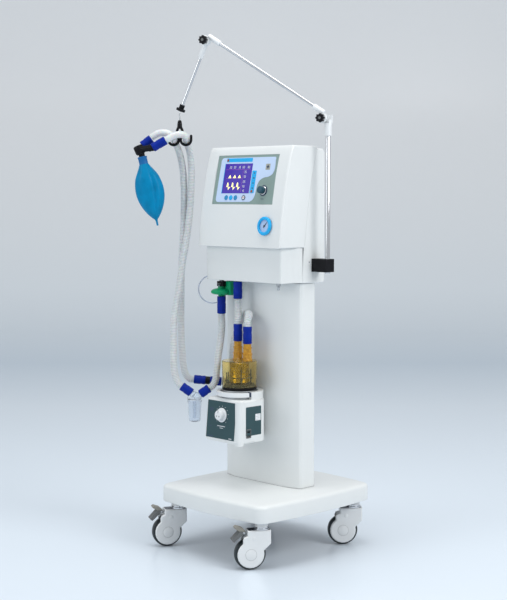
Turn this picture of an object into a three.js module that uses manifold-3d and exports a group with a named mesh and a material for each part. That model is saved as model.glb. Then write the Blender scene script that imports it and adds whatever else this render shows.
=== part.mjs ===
// Hospital ventilator on a four-caster cart, with a hose support arm, a heated humidifier and a patient circuit.
// Millimetres, +Z up, front towards -Y. The origin is on the floor under the middle of the object's box.
import * as THREE from "three";
import { mergeVertices } from "three/addons/utils/BufferGeometryUtils.js";
import Module from "manifold-3d";

const wasm = await Module();
wasm.setup();

// ---------------------------------------------------------------- driving dimensions
const GAP = 0.4; // running gap between touching pieces
const CART_AT = [44.2, 23.3]; // the cart's middle, seen from the origin

const WHEEL_R = 51;
const WHEEL_WIDTH = 28;
const CASTER_TRAIL = 38;
const CASTER_X = 205;
const CASTER_Y = 222;
const FORK_TOP = 129;
const SWIVEL_TOP = 156.4;

const BASE_X = 249; // half width at the corners
const BASE_Y = 267; // half depth at the corners
const BASE_BOW = 13; // how far each side bows out
const BASE_CORNER = 42;
const BASE_BOTTOM = 155;
const BASE_RIM = 207;
const BASE_TOP = 223;

const COLUMN_X = 180;
const COLUMN_FRONT = -34;
const COLUMN_BACK = 58;
const COLUMN_TOP = 905.5;

const HOUSING_X = 195.5;
const HOUSING_BOTTOM = 1024;
const HOUSING_TOP = 1357;
const NECK_X = 180;
const NECK_BOTTOM = 909;
const REAR_X = 191;
const REAR_BACK = 86;
const REAR_BOTTOM = 907;
const REAR_TOP = 1349;
const WALL = 4;

const PANEL_TILT = 11.9; // degrees the control panel leans back
const PANEL_AT = [0, -96.3, 1247];
const PANEL_W = 288;
const PANEL_H = 166;
const GAUGE_TILT = 6.7;
const GAUGE_AT = [123.7, -125.4, 1095.3];

const POLE_AT = [245, 42];
const POLE_R = 7.8;
const POLE_TOP = 1400;
const ARM_TURN = 205; // degrees, the way the arm points from the pole at rest
const ELBOW_1 = [19, 1445]; // along the arm from the pole, and up
const ELBOW_2 = [429, 1711];
const ARM_END = [521, 1495];
const TUBE_RISE = 17.5; // the upper tube's axis above the line between the elbows
const HANGER_AT = [-237.5, -176.4];
const HANGER_TURN = 225;
const HOOK_R = 17.7;
const HOOK_Z = 1383;
const HOOK_X = 20.8;

const HUMIDIFIER_AT = [-9, -115];
const HUMIDIFIER_TILT = 5.3; // degrees its front leans back
const CHAMBER_R = 58;
const CHAMBER_BOTTOM = 548;
const CHAMBER_TOP = 645;
const CUFF_R = 15;
const CUFF_BORE = 11.4;
const HOSE_R = 12.3;
const TRAP_AT = [-140, -200];
const VALVE_AT = [-127, -87];
const OUTLET_AT = [-46, -87];
const PORTS_AT = [
  [-32, -100],
  [14, -100],
];

// ---------------------------------------------------------------- materials
const paint = (color, roughness, metalness = 0) =>
  new THREE.MeshStandardMaterial({ color, roughness, metalness });
const SHELL = paint(0xe9eeee, 0.45);
const GREY_PLASTIC = paint(0x6b7074, 0.6);
const BLACK = paint(0x111214, 0.5);
const CHROME = paint(0xd8dade, 0.15, 1);
const STEEL = paint(0xa4a8ac, 0.35, 1);
const TYRE = paint(0x14181a, 0.8);
const TEAL = paint(0x56696b, 0.55);
const PANEL_TEAL = paint(0x7c9a92, 0.55);
const SCREEN = paint(0x2a2a8c, 0.2);
const CYAN = paint(0x12a8e0, 0.4);
const KNOB = paint(0x2b4454, 0.4);
const BLUE = paint(0x1230a8, 0.6);
const GREEN = paint(0x149a58, 0.5);
const AMBER = paint(0xc78a22, 0.15);
const CLEAR = paint(0xdfe8f2, 0.1);
const HOSE = paint(0xe6e8e6, 0.4);
const BAG = paint(0x0f86b8, 0.45);
const RED = paint(0xc42a20, 0.5);

// ---------------------------------------------------------------- geometry helpers
const rad = THREE.MathUtils.degToRad;

function solid(geometry) {
  const flat = geometry.index ? geometry.toNonIndexed() : geometry.clone();
  for (const name of Object.keys(flat.attributes)) {
    if (name !== "position") flat.deleteAttribute(name);
  }
  const merged = mergeVertices(flat, 1e-3);
  return new wasm.Manifold(
    new wasm.Mesh({
      numProp: 3,
      vertProperties: merged.attributes.position.array,
      triVerts: new Uint32Array(merged.index.array),
    }),
  );
}

function geometryOf(body) {
  const mesh = body.getMesh();
  const geometry = new THREE.BufferGeometry();
  geometry.setAttribute("position", new THREE.BufferAttribute(mesh.vertProperties, 3));
  geometry.setIndex(new THREE.BufferAttribute(mesh.triVerts, 1));
  geometry.computeVertexNormals();
  return geometry;
}

const join = (...parts) => geometryOf(parts.map(solid).reduce((a, b) => a.add(b)));
const cut = (body, ...tools) => geometryOf(tools.map(solid).reduce((a, b) => a.subtract(b), solid(body)));

function add(parent, name, geometry, material, at = [0, 0, 0], turn = [0, 0, 0]) {
  const mesh = new THREE.Mesh(geometry, material);
  mesh.name = name;
  mesh.position.set(...at);
  mesh.rotation.set(...turn);
  parent.add(mesh);
  return mesh;
}

function frameAt(parent, at, turn = [0, 0, 0]) {
  const group = new THREE.Group();
  group.position.set(...at);
  group.rotation.set(...turn);
  parent.add(group);
  return group;
}

const box = (w, d, h, x = 0, y = 0, z = 0) => new THREE.BoxGeometry(w, d, h).translate(x, y, z);

// A cylinder along Z from z0 to z1, with radius r1 at the top.
const rod = (r, z0, z1, sides = 20, x = 0, y = 0, r1 = r) =>
  new THREE.CylinderGeometry(r1, r, z1 - z0, sides).rotateX(Math.PI / 2).translate(x, y, (z0 + z1) / 2);

// A disc square to Y, from y0 to y1.
const disc = (r, y0, y1, sides = 20) => rod(r, y0, y1, sides).rotateX(-Math.PI / 2);

// A cylinder about the line from a towards b, from s0 to s1 along it.
function between(a, b, r, s0, s1, sides = 16, r1 = r) {
  const [from, to] = [new THREE.Vector3(...a), new THREE.Vector3(...b)];
  const aim = to.sub(from).normalize();
  const spin = new THREE.Quaternion().setFromUnitVectors(new THREE.Vector3(0, 0, 1), aim);
  return rod(r, s0, s1, sides, 0, 0, r1)
    .applyQuaternion(spin)
    .translate(from.x, from.y, from.z);
}

// A body of revolution about Z. The profile lists [radius, z] upwards, and starts and ends on the axis or closes.
const turned = (profile, sides = 24) =>
  new THREE.LatheGeometry(profile.map(([r, z]) => new THREE.Vector2(r, z)), sides).rotateX(Math.PI / 2);

function outline(points) {
  return new THREE.Shape(points.map(([x, y]) => new THREE.Vector2(x, y)));
}

// A flat shape pushed up from z0 to z1, with an optional rounded edge.
function slab(shape, z0, z1, edge = 0, steps = 2, curveSegments = 4) {
  return new THREE.ExtrudeGeometry(shape, {
    depth: z1 - z0 - 2 * edge,
    bevelEnabled: edge > 0,
    bevelThickness: edge,
    bevelSize: edge,
    bevelOffset: -edge,
    bevelSegments: steps,
    curveSegments,
  }).translate(0, 0, z0 + edge);
}

// A side profile of [y, z] points pushed along X from -half to +half.
const across = (profile, half, edge = 0, steps = 3) =>
  slab(outline(profile), -half, half, edge, steps).applyMatrix4(
    new THREE.Matrix4().makeBasis(
      new THREE.Vector3(0, 1, 0),
      new THREE.Vector3(0, 0, 1),
      new THREE.Vector3(1, 0, 0),
    ),
  );

// A closed tube of round section along a smooth curve through the points.
function tube(points, r, steps, sides = 10) {
  const section = new THREE.Shape();
  section.absarc(0, 0, r, 0, 2 * Math.PI);
  return new THREE.ExtrudeGeometry(section, {
    steps,
    curveSegments: sides / 2,
    bevelEnabled: false,
    extrudePath: new THREE.CatmullRomCurve3(points.map((p) => new THREE.Vector3(...p))),
  });
}

// Rings of equal point counts, joined up and capped at both ends.
function loft(rings) {
  const n = rings[0].length;
  const corner = (k, i) => new THREE.Vector3(...rings[k][i % n]);
  const triangles = [];
  for (let k = 0; k + 1 < rings.length; k++) {
    for (let i = 0; i < n; i++) {
      triangles.push(corner(k, i), corner(k, i + 1), corner(k + 1, i + 1));
      triangles.push(corner(k, i), corner(k + 1, i + 1), corner(k + 1, i));
    }
  }
  const flat = rings[0].map(([x, y]) => new THREE.Vector2(x, y));
  for (const [a, b, c] of THREE.ShapeUtils.triangulateShape(flat, [])) {
    triangles.push(corner(0, c), corner(0, b), corner(0, a));
    triangles.push(corner(rings.length - 1, a), corner(rings.length - 1, b), corner(rings.length - 1, c));
  }
  return new THREE.BufferGeometry().setFromPoints(triangles);
}

const part = new THREE.Group();
const cart = frameAt(part, [...CART_AT, 0]);

// ---------------------------------------------------------------- base
function basePlan(inset) {
  const [x, y, r, bow] = [BASE_X - inset, BASE_Y - inset, BASE_CORNER, BASE_BOW];
  const s = new THREE.Shape();
  s.moveTo(-x + r, -y);
  s.quadraticCurveTo(0, -y - 2 * bow, x - r, -y);
  s.quadraticCurveTo(x, -y, x, -y + r);
  s.quadraticCurveTo(x + 2 * bow, 0, x, y - r);
  s.quadraticCurveTo(x, y, x - r, y);
  s.quadraticCurveTo(0, y + 2 * bow, -x + r, y);
  s.quadraticCurveTo(-x, y, -x, y - r);
  s.quadraticCurveTo(-x - 2 * bow, 0, -x, -y + r);
  s.quadraticCurveTo(-x, -y, -x + r, -y);
  return s;
}

function basePlanRing(inset, z) {
  const points = basePlan(inset).getPoints(5);
  points.pop();
  return points.map((p) => [p.x, p.y, z]);
}

function makeBase() {
  const outer = loft([
    basePlanRing(1.5, BASE_BOTTOM),
    basePlanRing(0, BASE_BOTTOM + 3),
    basePlanRing(0, BASE_RIM - 6),
    basePlanRing(2, BASE_RIM),
    basePlanRing(8, BASE_RIM + 4.5),
    basePlanRing(60, BASE_TOP - 5),
    basePlanRing(150, BASE_TOP),
  ]);
  const inner = loft([
    basePlanRing(6, BASE_BOTTOM - 5),
    basePlanRing(6, BASE_RIM - 8),
    basePlanRing(60, BASE_TOP - 12),
    basePlanRing(150, BASE_TOP - 6),
  ]);
  add(cart, "base_shell", cut(outer, inner), SHELL);
  const frame = slab(basePlan(9), 158, 166, 0, 1, 4);
  const rails = [-150, 150].map((x) => box(60, 440, 26, x, 0, 178));
  add(cart, "base_frame", join(frame, ...rails), STEEL);
}

// ---------------------------------------------------------------- casters
const CASTERS = [
  { name: "front_right", x: CASTER_X, y: -CASTER_Y, turn: 238, brake: true },
  { name: "front_left", x: -CASTER_X, y: -CASTER_Y, turn: 243, brake: true },
  { name: "rear_right", x: CASTER_X, y: CASTER_Y, turn: 228, brake: false },
  { name: "rear_left", x: -CASTER_X, y: CASTER_Y, turn: 240, brake: false },
];

// Built with the swivel axis on Z and the wheel trailing along +X.
function forkGeometry() {
  const hub = [CASTER_TRAIL, WHEEL_R];
  const cheek = new THREE.Shape();
  cheek.moveTo(-28, FORK_TOP);
  cheek.lineTo(-28, 84);
  cheek.lineTo(hub[0] + 44 * Math.cos(rad(165)), hub[1] + 44 * Math.sin(rad(165)));
  cheek.absarc(hub[0], hub[1], 44, rad(165), rad(415), false);
  cheek.lineTo(64, 99);
  cheek.lineTo(60, 108);
  cheek.lineTo(49, 111);
  cheek.lineTo(49, FORK_TOP);
  const upright = new THREE.Matrix4().makeBasis(
    new THREE.Vector3(1, 0, 0),
    new THREE.Vector3(0, 0, 1),
    new THREE.Vector3(0, -1, 0),
  );
  const body = slab(cheek, -22, 22, 3, 1, 8).applyMatrix4(upright);
  const slot = box(130, 32, 112, 46, 0, 50);
  const axle = rod(5, -18, 18, 10).applyMatrix4(upright).translate(hub[0], 0, hub[1]);
  const head = rod(21, FORK_TOP - 3, SWIVEL_TOP, 20);
  return geometryOf(solid(body).subtract(solid(slot)).add(solid(axle)).add(solid(head)));
}

function wheelGeometry() {
  const half = WHEEL_WIDTH / 2;
  return turned(
    [
      [5.5, -12],
      [36, -12],
      [38, -half],
      [47, -half],
      [WHEEL_R, -7],
      [WHEEL_R, 7],
      [47, half],
      [38, half],
      [36, 12],
      [5.5, 12],
      [5.5, -12],
    ],
    28,
  ).rotateX(Math.PI / 2);
}

// The brake lever: a lower tab to press and an upper tab to release, on one hub.
function brakeGeometry() {
  const tab = new THREE.Shape();
  tab.moveTo(53, 116);
  tab.lineTo(66, 119);
  tab.lineTo(102, 89);
  tab.lineTo(109, 95);
  tab.lineTo(74, 127);
  tab.lineTo(100, 134);
  tab.lineTo(99, 140);
  tab.lineTo(60, 134);
  tab.lineTo(53, 125);
  return slab(tab, -17, 17, 1.5, 1, 2).rotateX(Math.PI / 2);
}

function makeCasters() {
  for (const c of CASTERS) {
    const swivel = frameAt(cart, [c.x, c.y, 0], [0, 0, rad(c.turn)]);
    add(swivel, "caster_fork_" + c.name, forkGeometry(), SHELL);
    add(swivel, "caster_wheel_" + c.name, wheelGeometry(), TYRE, [CASTER_TRAIL, 0, WHEEL_R]);
    if (c.brake) add(swivel, "brake_lever_" + c.name, brakeGeometry(), GREY_PLASTIC);
  }
}

// ---------------------------------------------------------------- column
const COLUMN_PLAN = [
  [-COLUMN_X, COLUMN_BACK - 10],
  [-COLUMN_X, -8],
  [-175, -16],
  [-166, -20],
  [-115, COLUMN_FRONT],
  [115, COLUMN_FRONT],
  [166, -20],
  [175, -16],
  [COLUMN_X, -8],
  [COLUMN_X, COLUMN_BACK - 10],
  [172, COLUMN_BACK],
  [-172, COLUMN_BACK],
];

function makeColumn() {
  const foot = BASE_TOP + GAP;
  const outer = slab(outline(COLUMN_PLAN), foot, COLUMN_TOP);
  const hollow = COLUMN_PLAN.map(([x, y]) => [
    x - Math.sign(x) * WALL,
    y < COLUMN_BACK - 20 ? y + WALL : COLUMN_BACK + 10,
  ]);
  add(cart, "column_cover", cut(outer, slab(outline(hollow), foot - 5, COLUMN_TOP + 5)), SHELL);
  const width = 2 * (COLUMN_X - WALL - 1);
  add(
    cart,
    "column_rear_panel",
    box(width, 3, COLUMN_TOP - foot - 2, 0, COLUMN_BACK - 4, (COLUMN_TOP + foot) / 2),
    SHELL,
  );
  add(cart, "mast", box(90, 50, COLUMN_TOP - foot - 1, 0, 15, (COLUMN_TOP + foot) / 2), STEEL);
}

// ---------------------------------------------------------------- housing
// The joint line between front and rear covers, as [y, z], from the bottom up.
const SEAM = [
  [-20, 907],
  [-18, 960],
  [-14, 1024],
  [-5, 1100],
  [8, 1185],
  [23, 1262],
  [47, 1357],
];
const FRONT_CURVE = [
  [-131, 1024],
  [-124, 1099],
  [-113, 1178],
  [-98, 1260],
  [-86, 1308],
  [-76, 1340],
  [-71, 1351],
  [-65, 1357],
];

function makeFrontCover() {
  const seam = SEAM.filter(([, z]) => z >= HOUSING_BOTTOM).reverse();
  const profile = [...FRONT_CURVE, ...seam.map(([y, z]) => [y - GAP / 2, z])];
  const outer = across(profile.reverse(), HOUSING_X, 5);
  const inner = across(
    [
      ...FRONT_CURVE.slice(0, -2).map(([y, z]) => [y + 9, Math.max(z, HOUSING_BOTTOM + WALL)]),
      [-60, HOUSING_TOP - WALL],
      [90, HOUSING_TOP - WALL],
      [90, HOUSING_BOTTOM + WALL],
    ].reverse(),
    HOUSING_X - WALL,
  );
  const tilt = new THREE.Matrix4()
    .makeRotationX(rad(90 - PANEL_TILT))
    .setPosition(...PANEL_AT);
  const recess = box(PANEL_W + 1, PANEL_H + 1, 20, 0, 0, 6.8).applyMatrix4(tilt);
  add(cart, "front_cover", cut(outer, inner, recess), SHELL);
}

function makeNeck() {
  const plan = [
    [-NECK_X + 8, -110],
    [NECK_X - 8, -110],
    [NECK_X - 2, -107.5],
    [NECK_X, -102],
    [181, -58],
    [192, -38],
    [192, -21],
    [-192, -21],
    [-192, -38],
    [-181, -58],
    [-NECK_X, -102],
    [-NECK_X + 2, -107.5],
  ];
  const top = HOUSING_BOTTOM - GAP;
  const outer = slab(outline(plan), NECK_BOTTOM, top);
  const inner = box(2 * NECK_X - 2 * WALL, 84, top - NECK_BOTTOM, 0, -60, (NECK_BOTTOM + top) / 2 + WALL);
  add(cart, "neck_cover", cut(outer, inner), SHELL);
}

function makeRearCover() {
  const profile = [
    [REAR_BACK - 6, REAR_BOTTOM],
    [REAR_BACK, REAR_BOTTOM + 6],
    [REAR_BACK, REAR_TOP - 14],
    [REAR_BACK - 10, REAR_TOP],
    ...SEAM.filter(([, z]) => z < REAR_TOP)
      .concat([[45, REAR_TOP]])
      .reverse()
      .map(([y, z]) => [y + GAP, z]),
  ];
  const outer = across(profile, REAR_X, 4);
  const inner = across(
    [
      [REAR_BACK - WALL, REAR_BOTTOM + WALL],
      [REAR_BACK - WALL, REAR_TOP - WALL],
      [-60, REAR_TOP - WALL],
      [-60, REAR_BOTTOM + WALL],
    ],
    REAR_X - WALL,
  );
  add(cart, "rear_cover", cut(outer, inner), SHELL);
  add(cart, "pneumatic_module", box(300, 64, 256, 0, 12, 1160), STEEL);
}

// ---------------------------------------------------------------- control panel and gauge
const DISPLAY = { x: -38, y: 4, w: 130, h: 101 };
const ROUND_KEYS = [-78.5, -56, -33.5];
const ALARM_KEY_X = 6;
const KEY_Y = -61.3;
const ENCODER = [94, -37.5];

function makePanel() {
  const panel = frameAt(cart, PANEL_AT, [rad(90 - PANEL_TILT), 0, 0]);
  const plate = box(PANEL_W, PANEL_H, 3.5, 0, 0, -1.25);
  const keyHoles = [...ROUND_KEYS, ALARM_KEY_X].map((x) => rod(8.6, -8, 8, 24, x, KEY_Y));
  const window = box(DISPLAY.w + 1, DISPLAY.h + 1, 20, DISPLAY.x, DISPLAY.y, 9);
  const spindleHole = rod(4, -8, 8, 16, ...ENCODER);
  add(panel, "control_panel", cut(plate, window, spindleHole, ...keyHoles), PANEL_TEAL);
  add(panel, "display_window", box(DISPLAY.w, DISPLAY.h, 1, DISPLAY.x, DISPLAY.y, 0), SCREEN);
  ROUND_KEYS.forEach((x, i) => {
    add(panel, "menu_key_" + (i + 1), rod(8.2, -1.4, 1.6, 24), CYAN, [x, KEY_Y, 0]);
  });
  add(panel, "alarm_key", rod(8.2, -1.4, 1.6, 24), RED, [ALARM_KEY_X, KEY_Y, 0]);
  const knob = turned(
    [
      [0, -2],
      [3.5, -2],
      [3.5, 1.2],
      [14, 1.2],
      [14, 4],
      [12, 5],
      [11.5, 19],
      [10, 21],
      [0, 21],
    ],
    24,
  );
  add(panel, "encoder_knob", knob, KNOB, [...ENCODER, 0]);
}

function makeGauge() {
  const gauge = frameAt(cart, GAUGE_AT, [rad(90 - GAUGE_TILT), 0, 0]);
  const bezel = turned(
    [
      [0, 1.5],
      [30, 1.5],
      [30.5, 3],
      [30, 8],
      [27, 9.5],
      [21, 7],
      [21, 3.5],
      [0, 3.5],
    ],
    32,
  );
  add(gauge, "gauge_bezel", bezel, CYAN);
  const hand = outline([
    [-1.4, -6],
    [1.4, -6],
    [0.5, 16],
    [-0.5, 16],
  ]);
  const needle = join(slab(hand, 4.4, 5.2), rod(3, 4, 5.8, 12));
  add(gauge, "gauge_needle", needle, BLACK, [0, 0, 0], [0, 0, rad(-40)]);
}

// ---------------------------------------------------------------- support arm
// In the arm's frame X runs along the arm from the pole, Y is the elbows' axis and Z is up.
const DISC_W = 13;
const ELBOW_R = 16;

function starKnob() {
  const points = [];
  for (let i = 0; i < 24; i++) {
    const a = (i / 24) * 2 * Math.PI;
    const r = 14 + 1.5 * Math.cos(6 * a);
    points.push([r * Math.cos(a), r * Math.sin(a)]);
  }
  const grip = slab(outline(points), 0, 15, 2, 1).rotateX(-Math.PI / 2);
  return join(grip.translate(0, 6, 0), disc(7, 0, 8, 12));
}

function makeArm() {
  const [px, py] = POLE_AT;
  const clamp = box(66, 38, 43, px - 20.5, py - 1, 966);
  add(cart, "arm_clamp", cut(clamp, rod(POLE_R + GAP, 940, 1000, 20, px, py)), BLACK);
  const arm = frameAt(cart, [px, py, 0], [0, 0, rad(ARM_TURN)]);
  add(arm, "arm_pole", rod(POLE_R, 946, POLE_TOP, 20), CHROME);

  const post = cut(rod(11.5, POLE_TOP - 12, 1440, 20), rod(POLE_R + GAP, 1380, POLE_TOP + GAP, 20));
  const cheek = box(ELBOW_1[0] + 11.5, DISC_W, 26, ELBOW_1[0] / 2 - 5.7, -DISC_W / 2, 1442);
  const eye = disc(ELBOW_R, -DISC_W, 0).translate(ELBOW_1[0], 0, ELBOW_1[1]);
  const yoke = cut(join(post, cheek, eye), box(60, 20, 60, 25, 10, 1459));
  add(arm, "pole_head", yoke, SHELL);

  const slope = Math.atan2(ELBOW_2[1] - ELBOW_1[1], ELBOW_2[0] - ELBOW_1[0]);
  const reach = Math.hypot(ELBOW_2[0] - ELBOW_1[0], ELBOW_2[1] - ELBOW_1[1]);
  const along = (r, x0, x1) => between([0, 5, TUBE_RISE], [1, 5, TUBE_RISE], r, x0, x1, 14);
  const upper = join(
    along(6, 40, reach - 40),
    along(9.5, 2, 46),
    along(9.5, reach - 52, reach),
    disc(ELBOW_R, GAP, DISC_W),
    disc(ELBOW_R, GAP, DISC_W).translate(reach, 0, 0),
  );
  const clearance = (x) => disc(ELBOW_R + 1, -DISC_W - 5, GAP, 24).translate(x, 0, 0);
  add(
    arm,
    "upper_arm",
    cut(upper, clearance(0), clearance(reach)),
    CHROME,
    [ELBOW_1[0], 0, ELBOW_1[1]],
    [0, -slope, 0],
  );

  const drop = Math.atan2(ELBOW_2[1] - ARM_END[1], ARM_END[0] - ELBOW_2[0]);
  const length = Math.hypot(ARM_END[0] - ELBOW_2[0], ELBOW_2[1] - ARM_END[1]);
  const lower = join(
    between([0, -6.8, 0], [1, -6.8, 0], 6, 0, 24, 12),
    between([0, -6.8, 0], [1, -6.8, 0], 8.5, 18, 62, 14),
    between([0, -6.8, 0], [1, -6.8, 0], 5.5, 50, length + 12, 14),
    disc(14, -DISC_W, -GAP),
  );
  add(arm, "lower_arm", lower, CHROME, [ELBOW_2[0], 0, ELBOW_2[1]], [0, drop, 0]);

  add(arm, "elbow_knob_lower", starKnob(), BLACK, [ELBOW_1[0], DISC_W + GAP, ELBOW_1[1]]);
  add(arm, "elbow_knob_upper", starKnob(), BLACK, [ELBOW_2[0], DISC_W + GAP, ELBOW_2[1]]);

  const collar = cut(join(rod(9, -18, 6, 16), rod(16, -12, -3, 16)), rod(5.9, -12.6, 10, 14));
  const lean = drop - Math.PI / 2;
  add(arm, "hanger_collar", collar, BLACK, [ARM_END[0], -6.8, ARM_END[1]], [0, lean, 0]);
}

// In the hanger's frame X points away from the arm and Y is square to the hooks.
function makeHanger() {
  const hanger = frameAt(cart, [...HANGER_AT, 0], [0, 0, rad(HANGER_TURN)]);
  const hook = (side, tip) => {
    const points = [
      [0, 0, 1440],
      [side * 2, 0, 1430],
      [side * 7, 0, 1414],
      [side * 4, 0, 1398],
    ];
    for (let i = 0; i <= 6; i++) {
      const a = Math.PI + (i / 6) * Math.PI;
      points.push([side * (HOOK_X + HOOK_R * Math.cos(a)), 0, HOOK_Z + HOOK_R * Math.sin(a)]);
    }
    if (tip > HOOK_Z + 2) points.push([side * (HOOK_X + HOOK_R), 0, tip]);
    return tube(points, 3, 18, 8);
  };
  const stem = rod(2.4, 1436, 1472, 10);
  const hub = rod(7.5, 1424, 1447, 12, 0, 0, 5);
  add(hanger, "hose_hanger", join(stem, hub, hook(-1, 1400), hook(1, HOOK_Z)), BLACK);
}

// ---------------------------------------------------------------- humidifier
// The plan: a flat front and sides, and a round back.
function humidifierRing(inset, front, z) {
  const [w, r] = [84 - inset, 78 - inset];
  const corner = 10;
  const points = [
    [-w, 0],
    [-w, front + inset + corner],
    [-w + 3, front + inset + 3],
    [-w + corner, front + inset],
    [w - corner, front + inset],
    [w - 3, front + inset + 3],
    [w, front + inset + corner],
    [w, 0],
  ];
  for (let i = 0; i <= 16; i++) {
    const a = (i / 16) * Math.PI;
    points.push([r * Math.cos(a), 1 + r * Math.sin(a)]);
  }
  return points.map(([x, y]) => [x, y, z]);
}

// Part of a ring between two radii, from one azimuth to another.
function ringSector(r0, r1, from, to, steps = 12) {
  const arc = (r, i) => {
    const a = rad(from + (i / steps) * (to - from));
    return [r * Math.cos(a), r * Math.sin(a)];
  };
  const points = [];
  for (let i = 0; i <= steps; i++) points.push(arc(r1, i));
  for (let i = steps; i >= 0; i--) points.push(arc(r0, i));
  return outline(points);
}

function makeHumidifier() {
  const at = frameAt(cart, [...HUMIDIFIER_AT, 0]);
  const body = loft([
    humidifierRing(5, -85, 378),
    humidifierRing(0, -84.5, 384),
    humidifierRing(0, -72.5, 516),
    humidifierRing(5, -72, 522),
  ]);
  const post = rod(14, 373, 519, 16, 72, -69);
  const shoulder = slab(ringSector(63, 80, -14, 160), 515, 546);
  const seat = rod(61, 518, 560, 32);
  const spindle = rod(5, -20, 12, 12).rotateX(rad(90 - HUMIDIFIER_TILT)).translate(-3, -76.5, 468);
  const well = box(14, 17, 24, 81, -39, 412);
  add(at, "humidifier_body", cut(join(body, post, shoulder), seat, spindle, well), SHELL);
  add(at, "heater_plate", rod(59, 518 + GAP, CHAMBER_BOTTOM - GAP, 28), STEEL);
  const [hx, hy] = HUMIDIFIER_AT;
  add(cart, "humidifier_bracket", box(70, 1.2, 120, hx, COLUMN_FRONT - 1.1, 450), STEEL);

  const dial = turned(
    [
      [0, -8],
      [4.6, -8],
      [4.6, 1.4],
      [24, 1.4],
      [24, 4],
      [18, 6],
      [17, 18],
      [15, 20],
      [0, 20],
    ],
    24,
  );
  add(at, "humidifier_dial", dial, SHELL, [-3, -76.5, 468], [rad(90 - HUMIDIFIER_TILT), 0, 0]);
  const rockerSide = outline([
    [-7.4, 0],
    [7.4, 0],
    [7.4, 5],
    [0, 3.5],
    [-7.4, 7],
  ]);
  const rocker = slab(rockerSide, -6, 6).rotateX(Math.PI / 2);
  add(at, "rocker_switch", rocker, BLACK, [80, -39, 412], [0, rad(90), 0]);
  add(at, "chamber_guard", slab(ringSector(65, 78, 165, 341), 530, 544), SHELL);

  add(at, "chamber_base", rod(CHAMBER_R, CHAMBER_BOTTOM, CHAMBER_BOTTOM + 9, 28), BLACK);
  const foot = CHAMBER_BOTTOM + 9 + GAP;
  const dome = turned(
    [
      [0, foot],
      [CHAMBER_R - 3, foot],
      [CHAMBER_R - 3, CHAMBER_TOP - 8],
      [CHAMBER_R - 10, CHAMBER_TOP],
      [0, CHAMBER_TOP],
    ],
    28,
  );
  const ports = PORTS_AT.map(([x, y]) => rod(14, CHAMBER_TOP - 4, 700.5, 16, x - hx, y - hy, 11));
  add(at, "humidifier_chamber", join(dome, ...ports), AMBER);
}

// ---------------------------------------------------------------- patient circuit
// A soft cuff standing on z0 with a bore right through it.
function addCuff(name, [x, y], z0, z1) {
  const cuff = cut(rod(CUFF_R, z0, z1, 18, x, y), rod(CUFF_BORE, z0 - 5, z1 + 5, 18, x, y));
  add(cart, name, cuff, BLUE);
}

function makeFixedCuffs() {
  addCuff("chamber_inlet_cuff", PORTS_AT[0], 707, 765);
  addCuff("chamber_outlet_cuff", PORTS_AT[1], 701, 759);
  addCuff("gas_outlet_cuff", OUTLET_AT, 848, 906);
  addCuff("exhalation_cuff", VALVE_AT, 793, 852);
  const [vx, vy] = VALVE_AT;
  const diaphragm = turned(
    [
      [0, 853],
      [10, 853],
      [11, 857],
      [31, 860],
      [36, 865],
      [36, 870],
      [31, 876],
      [14, 879],
      [12, 890],
      [0, 890],
    ],
    24,
  );
  const block = box(30, 26, 22, vx + 5, vy, 897.6);
  const body = box(30, 24, 34, vx + 27, vy + 14, 874);
  add(cart, "exhalation_valve", join(diaphragm.translate(vx, vy, 0), block, body), GREEN);
}

function makeTrap() {
  const at = frameAt(cart, [...TRAP_AT, 0], [0, 0, rad(45)]);
  const cap = turned(
    [
      [0, 506],
      [23, 506],
      [24, 512],
      [23, 521],
      [15, 530],
      [0, 535],
    ],
    20,
  );
  const [leftFrom, leftTo] = [
    [0, 0, 522],
    [-43.8, 0, 553],
  ];
  const [rightFrom, rightTo] = [
    [0, 0, 511],
    [49.5, 0, 546],
  ];
  const arms = [
    between(leftFrom, leftTo, 10.5, 0, 40),
    between(leftFrom, leftTo, CUFF_R, 12, 53, 18),
    between(rightFrom, rightTo, 10.5, 0, 40),
    between(rightFrom, rightTo, CUFF_R, 24, 60, 18),
  ];
  add(at, "trap_cap", join(cap, ...arms), BLUE);
  const cup = turned(
    [
      [0, 433],
      [18, 433],
      [20, 436],
      [23.4, 505],
      [21, 505],
      [18, 437],
      [0, 437],
    ],
    20,
  );
  add(at, "trap_cup", cup, CLEAR);
}

const COUPLER = [
  [-175, -171, 570],
  [-109, -104, 562],
];

function makeCoupler() {
  const [a, b] = COUPLER;
  add(
    cart,
    "hose_coupler",
    join(
      between(a, b, CUFF_R, 0, 40, 18),
      between(a, b, 13.5, 38, 56, 18),
      between(a, b, CUFF_R, 54, 94, 18),
    ),
    BLUE,
  );
}

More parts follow.
